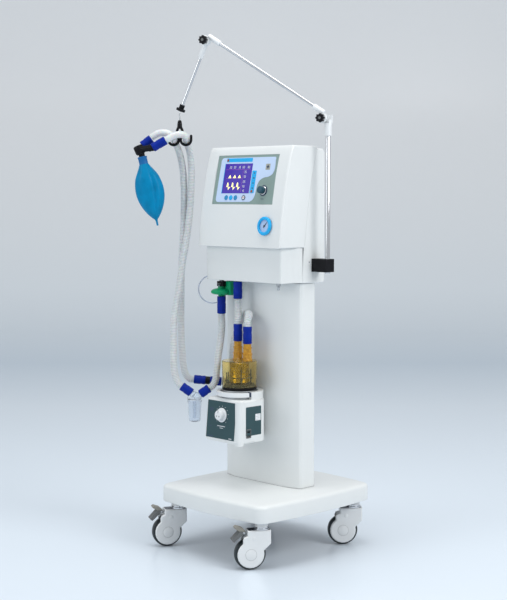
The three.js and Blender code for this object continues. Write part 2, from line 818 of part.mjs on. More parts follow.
const EXPIRATORY_ROUTE = [
  [-171.5, -231.5, 553.8],
  [-179, -239, 563],
  [-187, -246, 590],
  [-191, -248, 625],
  [-194, -246, 675],
  [-199, -242, 725],
  [-204, -234, 782],
  [-206, -223, 828],
  [-207, -210, 875],
  [-210, -198, 922],
  [-214, -184, 979],
  [-216, -170, 1030],
  [-219, -155, 1094],
  [-223, -143, 1159],
  [-226, -136, 1214],
  [-229, -131, 1262],
  [-232, -130, 1305],
  [-234, -134, 1341],
  [-233, -143, 1364],
  [-229, -154, 1381],
  [-223, -161, 1390],
  [-219, -171, 1396],
  [-218, -185, 1400],
  [-223, -199, 1399],
  [-232, -209, 1395],
  [-241, -219, 1388],
  [-250.5, -227.5, 1381],
];
const INSPIRATORY_ROUTE = [
  [-175.5, -171.5, 570.1],
  [-185, -181, 571.2],
  [-197, -191, 590],
  [-203, -195, 622],
  [-207, -196, 665],
  [-212, -195, 710],
  [-218, -191, 761],
  [-224, -185, 825],
  [-231, -178, 890],
  [-237, -171, 947],
  [-242, -164, 1002],
  [-246, -156, 1056],
  [-249, -149, 1124],
  [-252, -145, 1179],
  [-255, -143, 1227],
  [-259, -143, 1275],
  [-263, -148, 1316],
  [-263, -158, 1345],
  [-261, -171, 1365],
  [-257, -182, 1379],
  [-252, -191, 1388],
  [-258, -198, 1399],
  [-270, -209, 1406],
  [-285, -219, 1407],
  [-298, -229, 1402],
  [-310.5, -238.5, 1392],
];
const TRAP_ROUTE = [
  [-103.6, -163.6, 547],
  [-96, -156, 555],
  [-90, -149, 575],
  [-90, -143, 610],
  [-93, -134, 655],
  [-101, -117, 700],
  [-113, -99, 745],
  [-127, -87, 780],
  [-127, -87, 792.5],
];
const HEATED_ROUTE = [
  [-108.5, -103.5, 561.9],
  [-99, -94, 560.8],
  [-87, -84, 578],
  [-82, -81, 610],
  [-80, -79, 660],
  [-78, -74, 706],
  [-70, -67, 748],
  [-53, -61, 779],
  [-28, -63, 797],
  [-3, -76, 796],
  [12, -97, 781],
  [14, -100, 770],
  [14, -100, 759.5],
];
const DRY_ROUTE = [
  [-32, -100, 765.5],
  [-32, -100, 780],
  [-38, -94, 806],
  [-46, -87, 833],
  [-46, -87, 847.5],
];

function makeHoses() {
  add(cart, "expiratory_hose", tube(EXPIRATORY_ROUTE, HOSE_R, 26), HOSE);
  add(cart, "inspiratory_hose", tube(INSPIRATORY_ROUTE, HOSE_R, 26), HOSE);
  add(cart, "trap_hose", tube(TRAP_ROUTE, HOSE_R, 9), HOSE);
  add(cart, "heated_hose", tube(HEATED_ROUTE, HOSE_R, 14), HOSE);
  add(cart, "dry_hose", tube(DRY_ROUTE, HOSE_R, 4), HOSE);
}

// The Y-piece with its two cuffs, and the test lung that hangs on it, in the hanger's frame.
const LUNG_NECK = [128, 6, 1327];
const LUNG_TILT = 12.5;
const LUNG_PROFILE = [
  [27, 15.5],
  [40, 22],
  [55, 31],
  [75, 41],
  [100, 47],
  [120, 48.5],
  [145, 46],
  [170, 38],
  [195, 25],
  [212, 12],
  [221, 4.5],
  [242, 3.2],
];

function ellipseRing(rx, ry, z, sides = 20) {
  const ring = [];
  for (let i = 0; i < sides; i++) {
    const a = (i / sides) * 2 * Math.PI;
    ring.push([rx * Math.cos(a), ry * Math.sin(a), z]);
  }
  return ring;
}

function makePatientEnd() {
  const at = frameAt(cart, [...HANGER_AT, 0], [0, 0, rad(HANGER_TURN)]);
  const front = [
    [45.6, 27, 1380.6],
    [90, 27, 1355],
  ];
  const back = [
    [96.6, -8, 1387.5],
    [130, -6, 1362],
  ];
  const elbow = [
    [142, 6, 1361],
    [130, 6, 1333],
  ];
  const tilt = rad(LUNG_TILT);
  const spigot = [
    [LUNG_NECK[0] + 20 * Math.sin(tilt), LUNG_NECK[1], LUNG_NECK[2] + 20 * Math.cos(tilt)],
    LUNG_NECK,
  ];
  const yPiece = join(
    between(front[0], front[1], CUFF_R, 0.4, 51, 18),
    between(front[1], [138, 9, 1350], 11, -12, 46),
    between(back[0], back[1], CUFF_R, 0.4, 40, 18),
    between(elbow[0], elbow[1], 17, 0, 29, 18),
    between(...spigot, 10.5, 0, 42),
  );
  add(at, "y_piece", yPiece, BLACK);
  const rings = (profile, wall) =>
    profile.map(([s, r]) => {
      const flat = 1 - 0.42 * Math.sin(Math.PI * Math.min(1, (s - 27) / 194));
      return ellipseRing(r - wall, Math.max(r * flat - wall, 3), -s);
    });
  const collar = [ellipseRing(16, 16, 0), ellipseRing(15.5, 15.5, -20)];
  const leaf = loft([...collar, ...rings(LUNG_PROFILE, 0)].reverse());
  const inside = loft(rings(LUNG_PROFILE.slice(1, 9), 3).reverse());
  const lung = cut(leaf, join(inside, rod(11, -45, 5, 16)));
  add(at, "test_lung", lung, BAG, LUNG_NECK, [0, tilt, 0]);
}

makeBase();
makeCasters();
makeColumn();
makeFrontCover();
makeNeck();
makeRearCover();
makePanel();
makeGauge();
makeArm();
makeHanger();
makeHumidifier();
makeFixedCuffs();
makeTrap();
makeCoupler();
makeHoses();
makePatientEnd();

export default part;
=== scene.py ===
"""The looks of the ventilator cart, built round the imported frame.

Each piece is built in millimetres in a frame of its own, and the frame's matrix puts it in the row frame, in metres.
"""
import math

import bmesh
import bpy
from mathutils import Matrix, Vector
from mathutils.geometry import tessellate_polygon


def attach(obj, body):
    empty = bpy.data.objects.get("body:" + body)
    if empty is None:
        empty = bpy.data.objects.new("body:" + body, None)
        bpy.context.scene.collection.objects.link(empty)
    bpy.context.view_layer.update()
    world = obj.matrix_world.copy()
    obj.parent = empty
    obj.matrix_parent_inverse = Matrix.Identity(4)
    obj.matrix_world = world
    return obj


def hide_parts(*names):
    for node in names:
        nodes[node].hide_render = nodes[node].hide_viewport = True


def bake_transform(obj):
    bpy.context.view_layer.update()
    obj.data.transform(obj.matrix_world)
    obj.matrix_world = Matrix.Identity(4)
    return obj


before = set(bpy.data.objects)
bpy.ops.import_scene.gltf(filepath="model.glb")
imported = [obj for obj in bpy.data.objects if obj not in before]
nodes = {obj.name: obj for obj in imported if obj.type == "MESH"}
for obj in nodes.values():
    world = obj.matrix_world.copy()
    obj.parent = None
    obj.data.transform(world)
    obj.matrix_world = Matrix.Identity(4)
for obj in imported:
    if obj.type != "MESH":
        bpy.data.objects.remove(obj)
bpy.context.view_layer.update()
scene = bpy.context.scene

# ---------------------------------------------------------------- camera
CAMERA_AT = (3.2688, -3.1652, 1.1982)
CAMERA_AZIMUTH = 45.85
CAMERA_DOWN = 4.5
CAMERA_LENS = 80.5

camera = bpy.data.objects.new("camera", bpy.data.cameras.new("camera"))
camera.data.lens = CAMERA_LENS
camera.data.sensor_width = 36
camera.location = CAMERA_AT
camera.rotation_euler = (math.radians(90 - CAMERA_DOWN), 0, math.radians(CAMERA_AZIMUTH))
scene.collection.objects.link(camera)
scene.camera = camera
scene.view_settings.view_transform = "Standard"

# ---------------------------------------------------------------- frames, as in the CAD


def placed(parent, at=(0, 0, 0), rx=0.0, ry=0.0, rz=0.0):
    """A frame at a point of its parent, turned about X, Y or Z by degrees."""
    turn = Matrix.Rotation(math.radians(rz), 4, "Z") @ Matrix.Rotation(math.radians(ry), 4, "Y")
    return parent @ Matrix.Translation(at) @ turn @ Matrix.Rotation(math.radians(rx), 4, "X")


def aimed(parent, start, end):
    """A frame at start with its Z axis towards end."""
    turn = (Vector(end) - Vector(start)).to_track_quat("Z", "Y").to_matrix().to_4x4()
    return parent @ Matrix.Translation(start) @ turn


# Sends X to Y, Y to Z and Z to X, for shapes drawn on a side wall.
SIDEWAYS = Matrix(((0, 0, 1, 0), (1, 0, 0, 0), (0, 1, 0, 0), (0, 0, 0, 1)))
CART = Matrix.Diagonal((0.001, 0.001, 0.001, 1)) @ Matrix.Translation((44.2, 23.3, 0))
PANEL = placed(CART, (0, -96.3, 1247), rx=90 - 11.9)
GAUGE = placed(CART, (123.7, -125.4, 1095.3), rx=90 - 6.7)
ARM = placed(CART, (245, 42, 0), rz=205)
ELBOW_1, ELBOW_2, ARM_END = (19, 1445), (429, 1711), (521, 1495)
ARM_REACH = math.dist(ELBOW_1, ELBOW_2)
LOWER_REACH = math.dist(ELBOW_2, ARM_END)
ARM_SLOPE = math.degrees(math.atan2(ELBOW_2[1] - ELBOW_1[1], ELBOW_2[0] - ELBOW_1[0]))
ARM_DROP = math.degrees(math.atan2(ELBOW_2[1] - ARM_END[1], ARM_END[0] - ELBOW_2[0]))
UPPER_ARM = placed(ARM, (ELBOW_1[0], 0, ELBOW_1[1]), ry=-ARM_SLOPE)
LOWER_ARM = placed(ARM, (ELBOW_2[0], 0, ELBOW_2[1]), ry=ARM_DROP)
HANGER = placed(CART, (-237.5, -176.4, 0), rz=225)
HUMIDIFIER = placed(CART, (-9, -115, 0))
HUMIDIFIER_FRONT = placed(HUMIDIFIER, (0, -78.4, 450), rx=90 - 5.3)
DIAL = placed(HUMIDIFIER, (-3, -76.5, 468), rx=90 - 5.3)
TRAP = placed(CART, (-140, -200, 0), rz=45)
LUNG = placed(HANGER, (128, 6, 1327), ry=12.5)

# ---------------------------------------------------------------- materials


def material(name, color, roughness, **more):
    """A procedural surface: mottled colour, uneven gloss and a fine relief.

    mottle is the share of light and dark in the colour, relief the height of the surface grain in metres, and grain
    its size. Every other value goes straight to the shader's socket of that name.
    """
    mottle, relief, grain = more.pop("mottle", 0.04), more.pop("relief", 1e-5), more.pop("grain", 0.0012)
    patch, uneven = more.pop("patch", 0.06), more.pop("uneven", 0.06)
    made = bpy.data.materials.new(name)
    made.use_nodes = True
    tree = made.node_tree
    shader = tree.nodes["Principled BSDF"]
    place = tree.nodes.new("ShaderNodeTexCoord")

    def noise(size, detail):
        node = tree.nodes.new("ShaderNodeTexNoise")
        node.inputs["Scale"].default_value = 1 / size
        node.inputs["Detail"].default_value = detail
        tree.links.new(place.outputs["Object"], node.inputs["Vector"])
        return node.outputs["Fac"]

    ramp = tree.nodes.new("ShaderNodeValToRGB")
    ramp.color_ramp.elements[0].position, ramp.color_ramp.elements[1].position = 0.3, 0.7
    for stop, share in zip(ramp.color_ramp.elements, (1 - mottle, 1 + mottle)):
        stop.color = (*(min(1, c * share) for c in color), 1)
    tree.links.new(noise(patch, 3), ramp.inputs["Fac"])
    tree.links.new(ramp.outputs["Color"], shader.inputs["Base Color"])
    gloss = tree.nodes.new("ShaderNodeMapRange")
    gloss.inputs["To Min"].default_value = max(0.02, roughness - uneven)
    gloss.inputs["To Max"].default_value = min(1, roughness + uneven)
    tree.links.new(noise(patch * 0.4, 4), gloss.inputs["Value"])
    tree.links.new(gloss.outputs["Result"], shader.inputs["Roughness"])
    bump = tree.nodes.new("ShaderNodeBump")
    bump.inputs["Distance"].default_value = relief
    tree.links.new(noise(grain, 2), bump.inputs["Height"])
    tree.links.new(bump.outputs["Normal"], shader.inputs["Normal"])
    for socket, value in more.items():
        shader.inputs[socket.replace("_", " ")].default_value = value
    return made


def glowing(name, color, strength):
    return material(
        name, color, 0.25, mottle=0.02, Emission_Color=(*color, 1), Emission_Strength=strength, Coat_Weight=0.3
    )


SHELL = material("shell_white", (0.745, 0.765, 0.76), 0.36, mottle=0.012, patch=0.12, Coat_Weight=0.15)
COVER = material("caster_white", (0.74, 0.755, 0.76), 0.34, mottle=0.02, Coat_Weight=0.2)
SLEEVE = material("sleeve_white", (0.76, 0.78, 0.79), 0.32, mottle=0.02)
GREY = material("grey_plastic", (0.12, 0.125, 0.125), 0.5, relief=2e-5, grain=0.0006)
TAUPE = material("taupe_plastic", (0.24, 0.23, 0.20), 0.5, relief=2e-5, grain=0.0006)
BLACK = material(
    "black_plastic", (0.008, 0.008, 0.010), 0.36, mottle=0.2, relief=2e-5, grain=0.0006, Specular_IOR_Level=0.12
)
SEAL = material("seam_grey", (0.42, 0.43, 0.43), 0.6)
CHROME = material("chrome_tube", (0.62, 0.63, 0.65), 0.16, mottle=0.03, relief=4e-6, Metallic=1.0)
STEEL = material("plain_steel", (0.50, 0.52, 0.54), 0.34, mottle=0.08, Metallic=1.0)
DARK_STEEL = material("dark_steel", (0.10, 0.11, 0.13), 0.35, mottle=0.1, Metallic=1.0)
TYRE = material("tyre_rubber", (0.008, 0.016, 0.020), 0.42, mottle=0.25, relief=3e-5, grain=0.002)
PLATE = material("panel_grey_green", (0.225, 0.315, 0.29), 0.5, mottle=0.03, relief=2e-5, grain=0.0008)
MEMBRANE = material("membrane_blue", (0.53, 0.66, 0.87), 0.42, mottle=0.02, relief=8e-6, grain=0.0008)
SCREEN = glowing("display_face", (0.045, 0.022, 0.30), 0.35)
GLOW_YELLOW = glowing("display_yellow", (0.95, 0.86, 0.32), 0.8)
GLOW_PALE = glowing("display_pale", (0.50, 0.50, 0.52), 0.4)
GLOW_PINK = glowing("display_pink", (0.42, 0.12, 0.34), 0.3)
CYAN = material("key_cyan", (0.0, 0.40, 0.80), 0.38, mottle=0.03)
DEEP_CYAN = material("key_blue", (0.01, 0.24, 0.50), 0.38, mottle=0.04)
INK = material("print_dark", (0.03, 0.05, 0.10), 0.5)
LAMP = material("lamp_brown", (0.36, 0.08, 0.01), 0.3, Coat_Weight=0.4)
PICTOGRAM = material("pictogram_grey", (0.34, 0.34, 0.29), 0.5)
KNOB = material("knob_teal", (0.03, 0.085, 0.12), 0.3, mottle=0.06, Specular_IOR_Level=0.22)
RED = material("alarm_red", (0.50, 0.03, 0.05), 0.4)
WHITE_PRINT = material("print_white", (0.78, 0.80, 0.82), 0.45)
DIAL_FACE = material("gauge_face", (0.42, 0.56, 0.80), 0.3, mottle=0.03)
BLUE = material(
    "cuff_blue", (0.002, 0.020, 0.26), 0.42, mottle=0.10, patch=0.02, relief=3e-5, grain=0.001,
    Specular_IOR_Level=0.14,
)
GREEN = material("valve_green", (0.0, 0.30, 0.12), 0.36, mottle=0.08, Specular_IOR_Level=0.22)
TEAL = material("humidifier_teal", (0.036, 0.078, 0.088), 0.42, mottle=0.05, Specular_IOR_Level=0.22)
AMBER = material(
    "chamber_amber", (1.0, 0.86, 0.50), 0.05, mottle=0.02, uneven=0.02, Transmission_Weight=0.97, IOR=1.2
)
PORT_AMBER = material("port_amber", (0.82, 0.42, 0.04), 0.08, mottle=0.3, patch=0.008, Transmission_Weight=0.5)
GOLD = material("drum_gold", (0.34, 0.25, 0.012), 0.26, mottle=0.25, patch=0.02, Metallic=1.0)
CLEAR = material("cup_clear", (0.90, 0.94, 1.0), 0.08, mottle=0.02, uneven=0.03, Transmission_Weight=0.9, IOR=1.3)
TUBE_CLEAR = material("pilot_tube", (0.62, 0.68, 0.80), 0.12, Transmission_Weight=0.5)
HOSE = material(
    "hose_white", (0.80, 0.82, 0.82), 0.32, mottle=0.03, patch=0.03, Transmission_Weight=0.22, Subsurface_Weight=0.15
)
# Painted shade: a darker grey for the faces in the hoses' grooves, standing in for the shade that falls in the
# corrugations.
PAINTED_GROOVE_SHADE = material("hose_groove_shade", (0.52, 0.55, 0.57), 0.4, mottle=0.03, patch=0.03, Transmission_Weight=0.2)
LUNG_TEAL = material(
    "lung_teal", (0.0, 0.21, 0.42), 0.34, mottle=0.10, patch=0.03, relief=4e-5, grain=0.002, Specular_IOR_Level=0.12
)
LUNG_DARK = material("lung_collar", (0.01, 0.13, 0.36), 0.42, mottle=0.08, Specular_IOR_Level=0.22)

# ---------------------------------------------------------------- shapes: each returns points and faces


def loft(rings):
    """Rings of equal counts, joined and capped at both ends."""
    count = len(rings[0])
    points = [p for ring in rings for p in ring]
    faces = [list(range(count))[::-1], [len(points) - count + i for i in range(count)]]
    for k in range(len(rings) - 1):
        for i in range(count):
            j = (i + 1) % count
            faces.append([k * count + i, k * count + j, (k + 1) * count + j, (k + 1) * count + i])
    return points, faces


def lathe(profile, sides=48):
    """A closed body of revolution about Z through (radius, z) points.

    It closes on itself if the first point is also the last.
    """
    ring_shape = profile[0] == profile[-1]
    rows = profile[:-1] if ring_shape else profile
    points, starts = [], []
    for r, z in rows:
        starts.append((len(points), r > 1e-6))
        turns = [2 * math.pi * i / sides for i in range(sides)] if r > 1e-6 else [0.0]
        points += [(r * math.cos(a), r * math.sin(a), z) for a in turns]
    faces = []
    pairs = list(zip(starts, starts[1:])) + ([(starts[-1], starts[0])] if ring_shape else [])
    for (low, low_wide), (high, high_wide) in pairs:
        for i in range(sides):
            j = (i + 1) % sides
            face = [low + i, low + j] if low_wide else [low]
            face += [high + j, high + i] if high_wide else [high]
            if len(face) > 2:
                faces.append(face)
    if not ring_shape:
        if starts[0][1]:
            faces.append([starts[0][0] + i for i in range(sides)][::-1])
        if starts[-1][1]:
            faces.append([starts[-1][0] + i for i in range(sides)])
    return points, faces


def rod(r, z0, z1, sides=32, edge=0.6):
    return lathe([(r - edge, z0), (r, z0 + edge), (r, z1 - edge), (r - edge, z1)], sides)


def box(w, d, h, x=0.0, y=0.0, z=0.0):
    ring = [(-w / 2, -d / 2), (w / 2, -d / 2), (w / 2, d / 2), (-w / 2, d / 2)]
    return loft([[(x + a, y + b, z + c) for a, b in ring] for c in (-h / 2, h / 2)])


def flat(outlines, z0, z1):
    """A plate from z0 to z1: the first outline is its edge, and any others are holes."""
    if isinstance(outlines[0][0], (int, float)):
        outlines = [outlines]
    flat_points = [p for outline in outlines for p in outline]
    count = len(flat_points)
    points = [(x, y, z) for z in (z0, z1) for x, y in flat_points]
    caps = tessellate_polygon([[(x, y, 0) for x, y in outline] for outline in outlines])
    faces = [list(t) for t in caps] + [[i + count for i in t] for t in caps]
    start = 0
    for outline in outlines:
        n = len(outline)
        for i in range(n):
            a, b = start + i, start + (i + 1) % n
            faces.append([a, b, b + count, a + count])
        start += n
    return points, faces


def circle(r, x=0.0, y=0.0, sides=32):
    turns = [2 * math.pi * i / sides for i in range(sides)]
    return [(x + r * math.cos(a), y + r * math.sin(a)) for a in turns]


def rounded(corners, r, steps=6):
    """The outline through the corners, each rounded by an arc of about that radius."""
    outline = []
    for i, corner in enumerate(corners):
        here, before, after = Vector(corner), Vector(corners[i - 1]), Vector(corners[(i + 1) % len(corners)])
        reach = min(r, (before - here).length / 2, (after - here).length / 2)
        a, b = here + (before - here).normalized() * reach, here + (after - here).normalized() * reach
        for k in range(steps + 1):
            t = k / steps
            outline.append(tuple((1 - t) ** 2 * a + 2 * t * (1 - t) * here + t * t * b))
    return outline


def rect(x0, y0, x1, y1, r=0.0):
    corners = [(x0, y0), (x1, y0), (x1, y1), (x0, y1)]
    return rounded(corners, r, 4) if r else corners


def spline(points, step):
    """A smooth curve through the points (centripetal, as the CAD's own), cut into equal steps."""
    knots = [Vector(p) for p in points]
    knots = [2 * knots[0] - knots[1], *knots, 2 * knots[-1] - knots[-2]]
    dense = [knots[1]]
    for p0, p1, p2, p3 in zip(knots, knots[1:], knots[2:], knots[3:]):
        d0, d1, d2 = (max((b - a).length, 1e-6) ** 0.5 for a, b in ((p0, p1), (p1, p2), (p2, p3)))
        out = ((p1 - p0) / d0 - (p2 - p0) / (d0 + d1) + (p2 - p1) / d1) * d1
        into = ((p2 - p1) / d1 - (p3 - p1) / (d1 + d2) + (p3 - p2) / d2) * d1
        for k in range(1, 25):
            t = k / 24
            bend = (2 * t**3 - 3 * t * t + 1) * p1 + (t**3 - 2 * t * t + t) * out
            dense.append(bend + (3 * t * t - 2 * t**3) * p2 + (t**3 - t * t) * into)
    total = sum((b - a).length for a, b in zip(dense, dense[1:]))
    count = max(2, round(total / step))
    even, walked, k = [dense[0]], 0.0, 0
    for i in range(1, count):
        goal = total * i / count
        while walked + (dense[k + 1] - dense[k]).length < goal:
            walked += (dense[k + 1] - dense[k]).length
            k += 1
        even.append(dense[k].lerp(dense[k + 1], (goal - walked) / (dense[k + 1] - dense[k]).length))
    return even + [dense[-1]]


def sweep(path, radius, sides=20):
    """A round tube along a path. radius is a number, or a function of the number of the point along the path."""
    of_point = radius if callable(radius) else lambda _: radius
    tangents = [(b - a).normalized() for a, b in zip(path[:1] + path[:-1], path[1:] + path[-1:])]
    side = tangents[0].orthogonal().normalized()
    rings = []
    for i, (centre, ahead) in enumerate(zip(path, tangents)):
        side = (side - ahead * side.dot(ahead)).normalized()
        up = ahead.cross(side)
        r = of_point(i)
        turns = [2 * math.pi * k / sides for k in range(sides)]
        rings.append([tuple(centre + (side * math.cos(a) + up * math.sin(a)) * r) for a in turns])
    return loft(rings)


# ---------------------------------------------------------------- making pieces
SHARP = math.radians(32)


def make(name, body, slot, *parts, replaces=(), bevel=0.0, segments=3):
    """One piece of the object, from (shape, frame, material) parts. It rides on body, or on none if body is None."""
    mesh = bpy.data.meshes.new(name)
    build = bmesh.new()
    used = []
    for (points, faces), place, surface in parts:
        if surface not in used:
            used.append(surface)
            mesh.materials.append(surface)
        corners = [build.verts.new(place @ Vector(p)) for p in points]
        for face in faces:
            build.faces.new([corners[i] for i in face]).material_index = used.index(surface)
    bmesh.ops.recalc_face_normals(build, faces=build.faces)
    build.to_mesh(mesh)
    build.free()
    obj = bpy.data.objects.new(name, mesh)
    scene.collection.objects.link(obj)
    soften(obj, bevel, segments)
    if body:
        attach(obj, body)
    if replaces:
        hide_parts(*replaces)
    return obj


def soften(obj, bevel, segments=3):
    """Smooth shading with sharp edges kept, or rounded by a bevel in millimetres."""
    obj.data.shade_smooth()
    obj.data.set_sharp_from_angle(angle=SHARP)
    if bevel:
        edge = obj.modifiers.new("edge", "BEVEL")
        edge.width = bevel / 1000
        edge.segments = segments
        edge.limit_method = "ANGLE"
        edge.angle_limit = SHARP
        edge.use_clamp_overlap = True
        obj.modifiers.new("normals", "WEIGHTED_NORMAL")


def dress(name, surface, bevel=0.0):
    """A CAD node that stays: it gets its material, and its edges are rounded by modifiers."""
    obj = nodes[name]
    obj.data.materials.clear()
    obj.data.materials.append(surface)
    normals = obj.data.attributes.get("custom_normal")
    if normals:
        obj.data.attributes.remove(normals)
    weld = obj.modifiers.new("weld", "WELD")
    weld.merge_threshold = 1e-6
    soften(obj, bevel)
    if not bevel:
        obj.modifiers.new("normals", "WEIGHTED_NORMAL").keep_sharp = True


# ---------------------------------------------------------------- hoses and the pilot tube
HOSE_R, RIDGE_DEPTH = 0.0117, 0.0010  # the tube's mean radius, and how far a corrugation stands off it either way
RIDGE = 0.0052  # from one corrugation to the next
RIDGE_STEPS = 6
GROOVE_STEPS = (2, 3)  # the steps of each corrugation that lie in its groove, which get painted shade
HOSE_SIDES = 20

# The routes repeat the CAD's, in metres in the row frame.
EXPIRATORY_ROUTE = [
    (-0.1273, -0.2082, 0.5538), (-0.1348, -0.2157, 0.5630), (-0.1428, -0.2227, 0.5900), (-0.1468, -0.2247, 0.6250),
    (-0.1498, -0.2227, 0.6750), (-0.1548, -0.2187, 0.7250), (-0.1598, -0.2107, 0.7820), (-0.1618, -0.1997, 0.8280),
    (-0.1628, -0.1867, 0.8750), (-0.1658, -0.1747, 0.9220), (-0.1698, -0.1607, 0.9790), (-0.1718, -0.1467, 1.0300),
    (-0.1748, -0.1317, 1.0940), (-0.1788, -0.1197, 1.1590), (-0.1818, -0.1127, 1.2140), (-0.1848, -0.1077, 1.2620),
    (-0.1878, -0.1067, 1.3050), (-0.1898, -0.1107, 1.3410), (-0.1888, -0.1197, 1.3640), (-0.1848, -0.1307, 1.3810),
    (-0.1788, -0.1377, 1.3900), (-0.1748, -0.1477, 1.3960), (-0.1738, -0.1617, 1.4000), (-0.1788, -0.1757, 1.3990),
    (-0.1878, -0.1857, 1.3950), (-0.1968, -0.1957, 1.3880), (-0.2063, -0.2042, 1.3810),
]
INSPIRATORY_ROUTE = [
    (-0.1313, -0.1482, 0.5701), (-0.1408, -0.1577, 0.5712), (-0.1528, -0.1677, 0.5900), (-0.1588, -0.1717, 0.6220),
    (-0.1628, -0.1727, 0.6650), (-0.1678, -0.1717, 0.7100), (-0.1738, -0.1677, 0.7610), (-0.1798, -0.1617, 0.8250),
    (-0.1868, -0.1547, 0.8900), (-0.1928, -0.1477, 0.9470), (-0.1978, -0.1407, 1.0020), (-0.2018, -0.1327, 1.0560),
    (-0.2048, -0.1257, 1.1240), (-0.2078, -0.1217, 1.1790), (-0.2108, -0.1197, 1.2270), (-0.2148, -0.1197, 1.2750),
    (-0.2188, -0.1247, 1.3160), (-0.2188, -0.1347, 1.3450), (-0.2168, -0.1477, 1.3650), (-0.2128, -0.1587, 1.3790),
    (-0.2078, -0.1677, 1.3880), (-0.2138, -0.1747, 1.3990), (-0.2258, -0.1857, 1.4060), (-0.2408, -0.1957, 1.4070),
    (-0.2538, -0.2057, 1.4020), (-0.2663, -0.2152, 1.3920),
]
TRAP_ROUTE = [
    (-0.0594, -0.1403, 0.5470), (-0.0518, -0.1327, 0.5550), (-0.0458, -0.1257, 0.5750), (-0.0458, -0.1197, 0.6100),
    (-0.0488, -0.1107, 0.6550), (-0.0568, -0.0937, 0.7000), (-0.0688, -0.0757, 0.7450), (-0.0828, -0.0637, 0.7800),
    (-0.0828, -0.0637, 0.7925),
]
HEATED_ROUTE = [
    (-0.0643, -0.0802, 0.5619), (-0.0548, -0.0707, 0.5608), (-0.0428, -0.0607, 0.5780), (-0.0378, -0.0577, 0.6100),
    (-0.0358, -0.0557, 0.6600), (-0.0338, -0.0507, 0.7060), (-0.0258, -0.0437, 0.7480), (-0.0088, -0.0377, 0.7790),
    (0.0162, -0.0397, 0.7970), (0.0412, -0.0527, 0.7960), (0.0562, -0.0737, 0.7810), (0.0582, -0.0767, 0.7700),
    (0.0582, -0.0767, 0.7595),
]
DRY_ROUTE = [
    (0.0122, -0.0767, 0.7655), (0.0122, -0.0767, 0.7800), (0.0062, -0.0707, 0.8060), (-0.0018, -0.0637, 0.8330),
    (-0.0018, -0.0637, 0.8475),
]
METRES = Matrix.Identity(4)


def hose(name, node, route, bodies, shares=(1.0,), smooth_end=0.0):
    """A corrugated hose in one or more lengths.

    bodies has one name for a length that rides on that body, or a pair for a length that crosses a joint and rides on
    no body. shares says how far along the whole hose each length ends, and smooth_end how much of its far end has no
    ridges.
    """
    path = spline(route, RIDGE / RIDGE_STEPS)
    total = sum((b - a).length for a, b in zip(path, path[1:]))
    last = len(path) - 1

    def radius(i):
        from_end = total * (1 - i / last)
        fade = max(0.0, min(1.0, (from_end - smooth_end) / 0.03)) if smooth_end else 1.0
        wave = math.cos(2 * math.pi * i / RIDGE_STEPS)
        return HOSE_R + RIDGE_DEPTH * wave * fade

    start = 0
    for number, (body, share) in enumerate(zip(bodies, shares), 1):
        end = round(share * last)
        piece_name = name if len(shares) == 1 else f"{name}_{number}"
        stretch = path[start : end + 1]
        shape = sweep(stretch, lambda i, first=start: radius(i + first), HOSE_SIDES)
        rides = isinstance(body, str)
        obj = make(piece_name, body if rides else None, "hose_white", (shape, METRES, HOSE), replaces=(node,))
        # The groove faces get the darker material: painted shade in each corrugation.
        obj.data.materials.append(PAINTED_GROOVE_SHADE)
        # The two caps come first.
        for index, face in enumerate(obj.data.polygons, -2):
            ring = start + index // HOSE_SIDES
            if ring % RIDGE_STEPS in GROOVE_STEPS and ring < last * (1 - smooth_end / total):
                face.material_index = 1
        if not rides:
            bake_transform(obj)
        start = end


# Each length that crosses a joint of the arm rides on no body.
ARM_CHAIN = [("cart", "pole"), ("pole", "upper_arm"), ("upper_arm", "lower_arm"), ("lower_arm", "hanger"), "hanger"]
ARM_SHARES = (0.31, 0.49, 0.66, 0.825, 1.0)
hose("expiratory_hose", "expiratory_hose", EXPIRATORY_ROUTE, ARM_CHAIN, ARM_SHARES, 0.10)
hose("inspiratory_hose", "inspiratory_hose", INSPIRATORY_ROUTE, ARM_CHAIN, ARM_SHARES, 0.13)
hose("trap_hose_tube", "trap_hose", TRAP_ROUTE, ["cart"])
hose("heated_hose_tube", "heated_hose", HEATED_ROUTE, ["cart"])
hose("dry_hose_tube", "dry_hose", DRY_ROUTE, ["cart"])

PILOT_D = 0.0042
pilot_route = [(-0.0740, -0.0700, 0.9040), (-0.0800, -0.0760, 0.9090)]
for step in range(13):
    turn = math.radians(38 + 25 * step)
    pilot_route.append((
        -0.1188 + 0.0335 * math.cos(turn), -0.0717 + 0.0344 * math.cos(turn), 0.875 + 0.048 * math.sin(turn)
    ))
pilot_route.append((-0.0780, -0.0800, 0.8900))
pilot_path = spline(pilot_route, 0.003)
pilot = make("pilot_tube", "cart", "cup_clear", (sweep(pilot_path, PILOT_D / 2, 12), METRES, TUBE_CLEAR))

# ---------------------------------------------------------------- base and column


def base_plan(inset, z, steps=14):
    """The base's outline, each side bowed and each corner round."""
    x, y, r, bow = 249 - inset, 267 - inset, 42, 13
    arcs = [
        ((-x + r, -y), (0, -y - 2 * bow), (x - r, -y)), ((x - r, -y), (x, -y), (x, -y + r)),
        ((x, -y + r), (x + 2 * bow, 0), (x, y - r)), ((x, y - r), (x, y), (x - r, y)),
        ((x - r, y), (0, y + 2 * bow), (-x + r, y)), ((-x + r, y), (-x, y), (-x, y - r)),
        ((-x, y - r), (-x - 2 * bow, 0), (-x, -y + r)), ((-x, -y + r), (-x, -y), (-x + r, -y)),
    ]
    ring = []
    for a, b, c in arcs:
        for k in range(steps):
            t = k / steps
            ring.append(tuple((1 - t) ** 2 * p + 2 * t * (1 - t) * q + t * t * s for p, q, s in zip(a, b, c)) + (z,))
    return ring


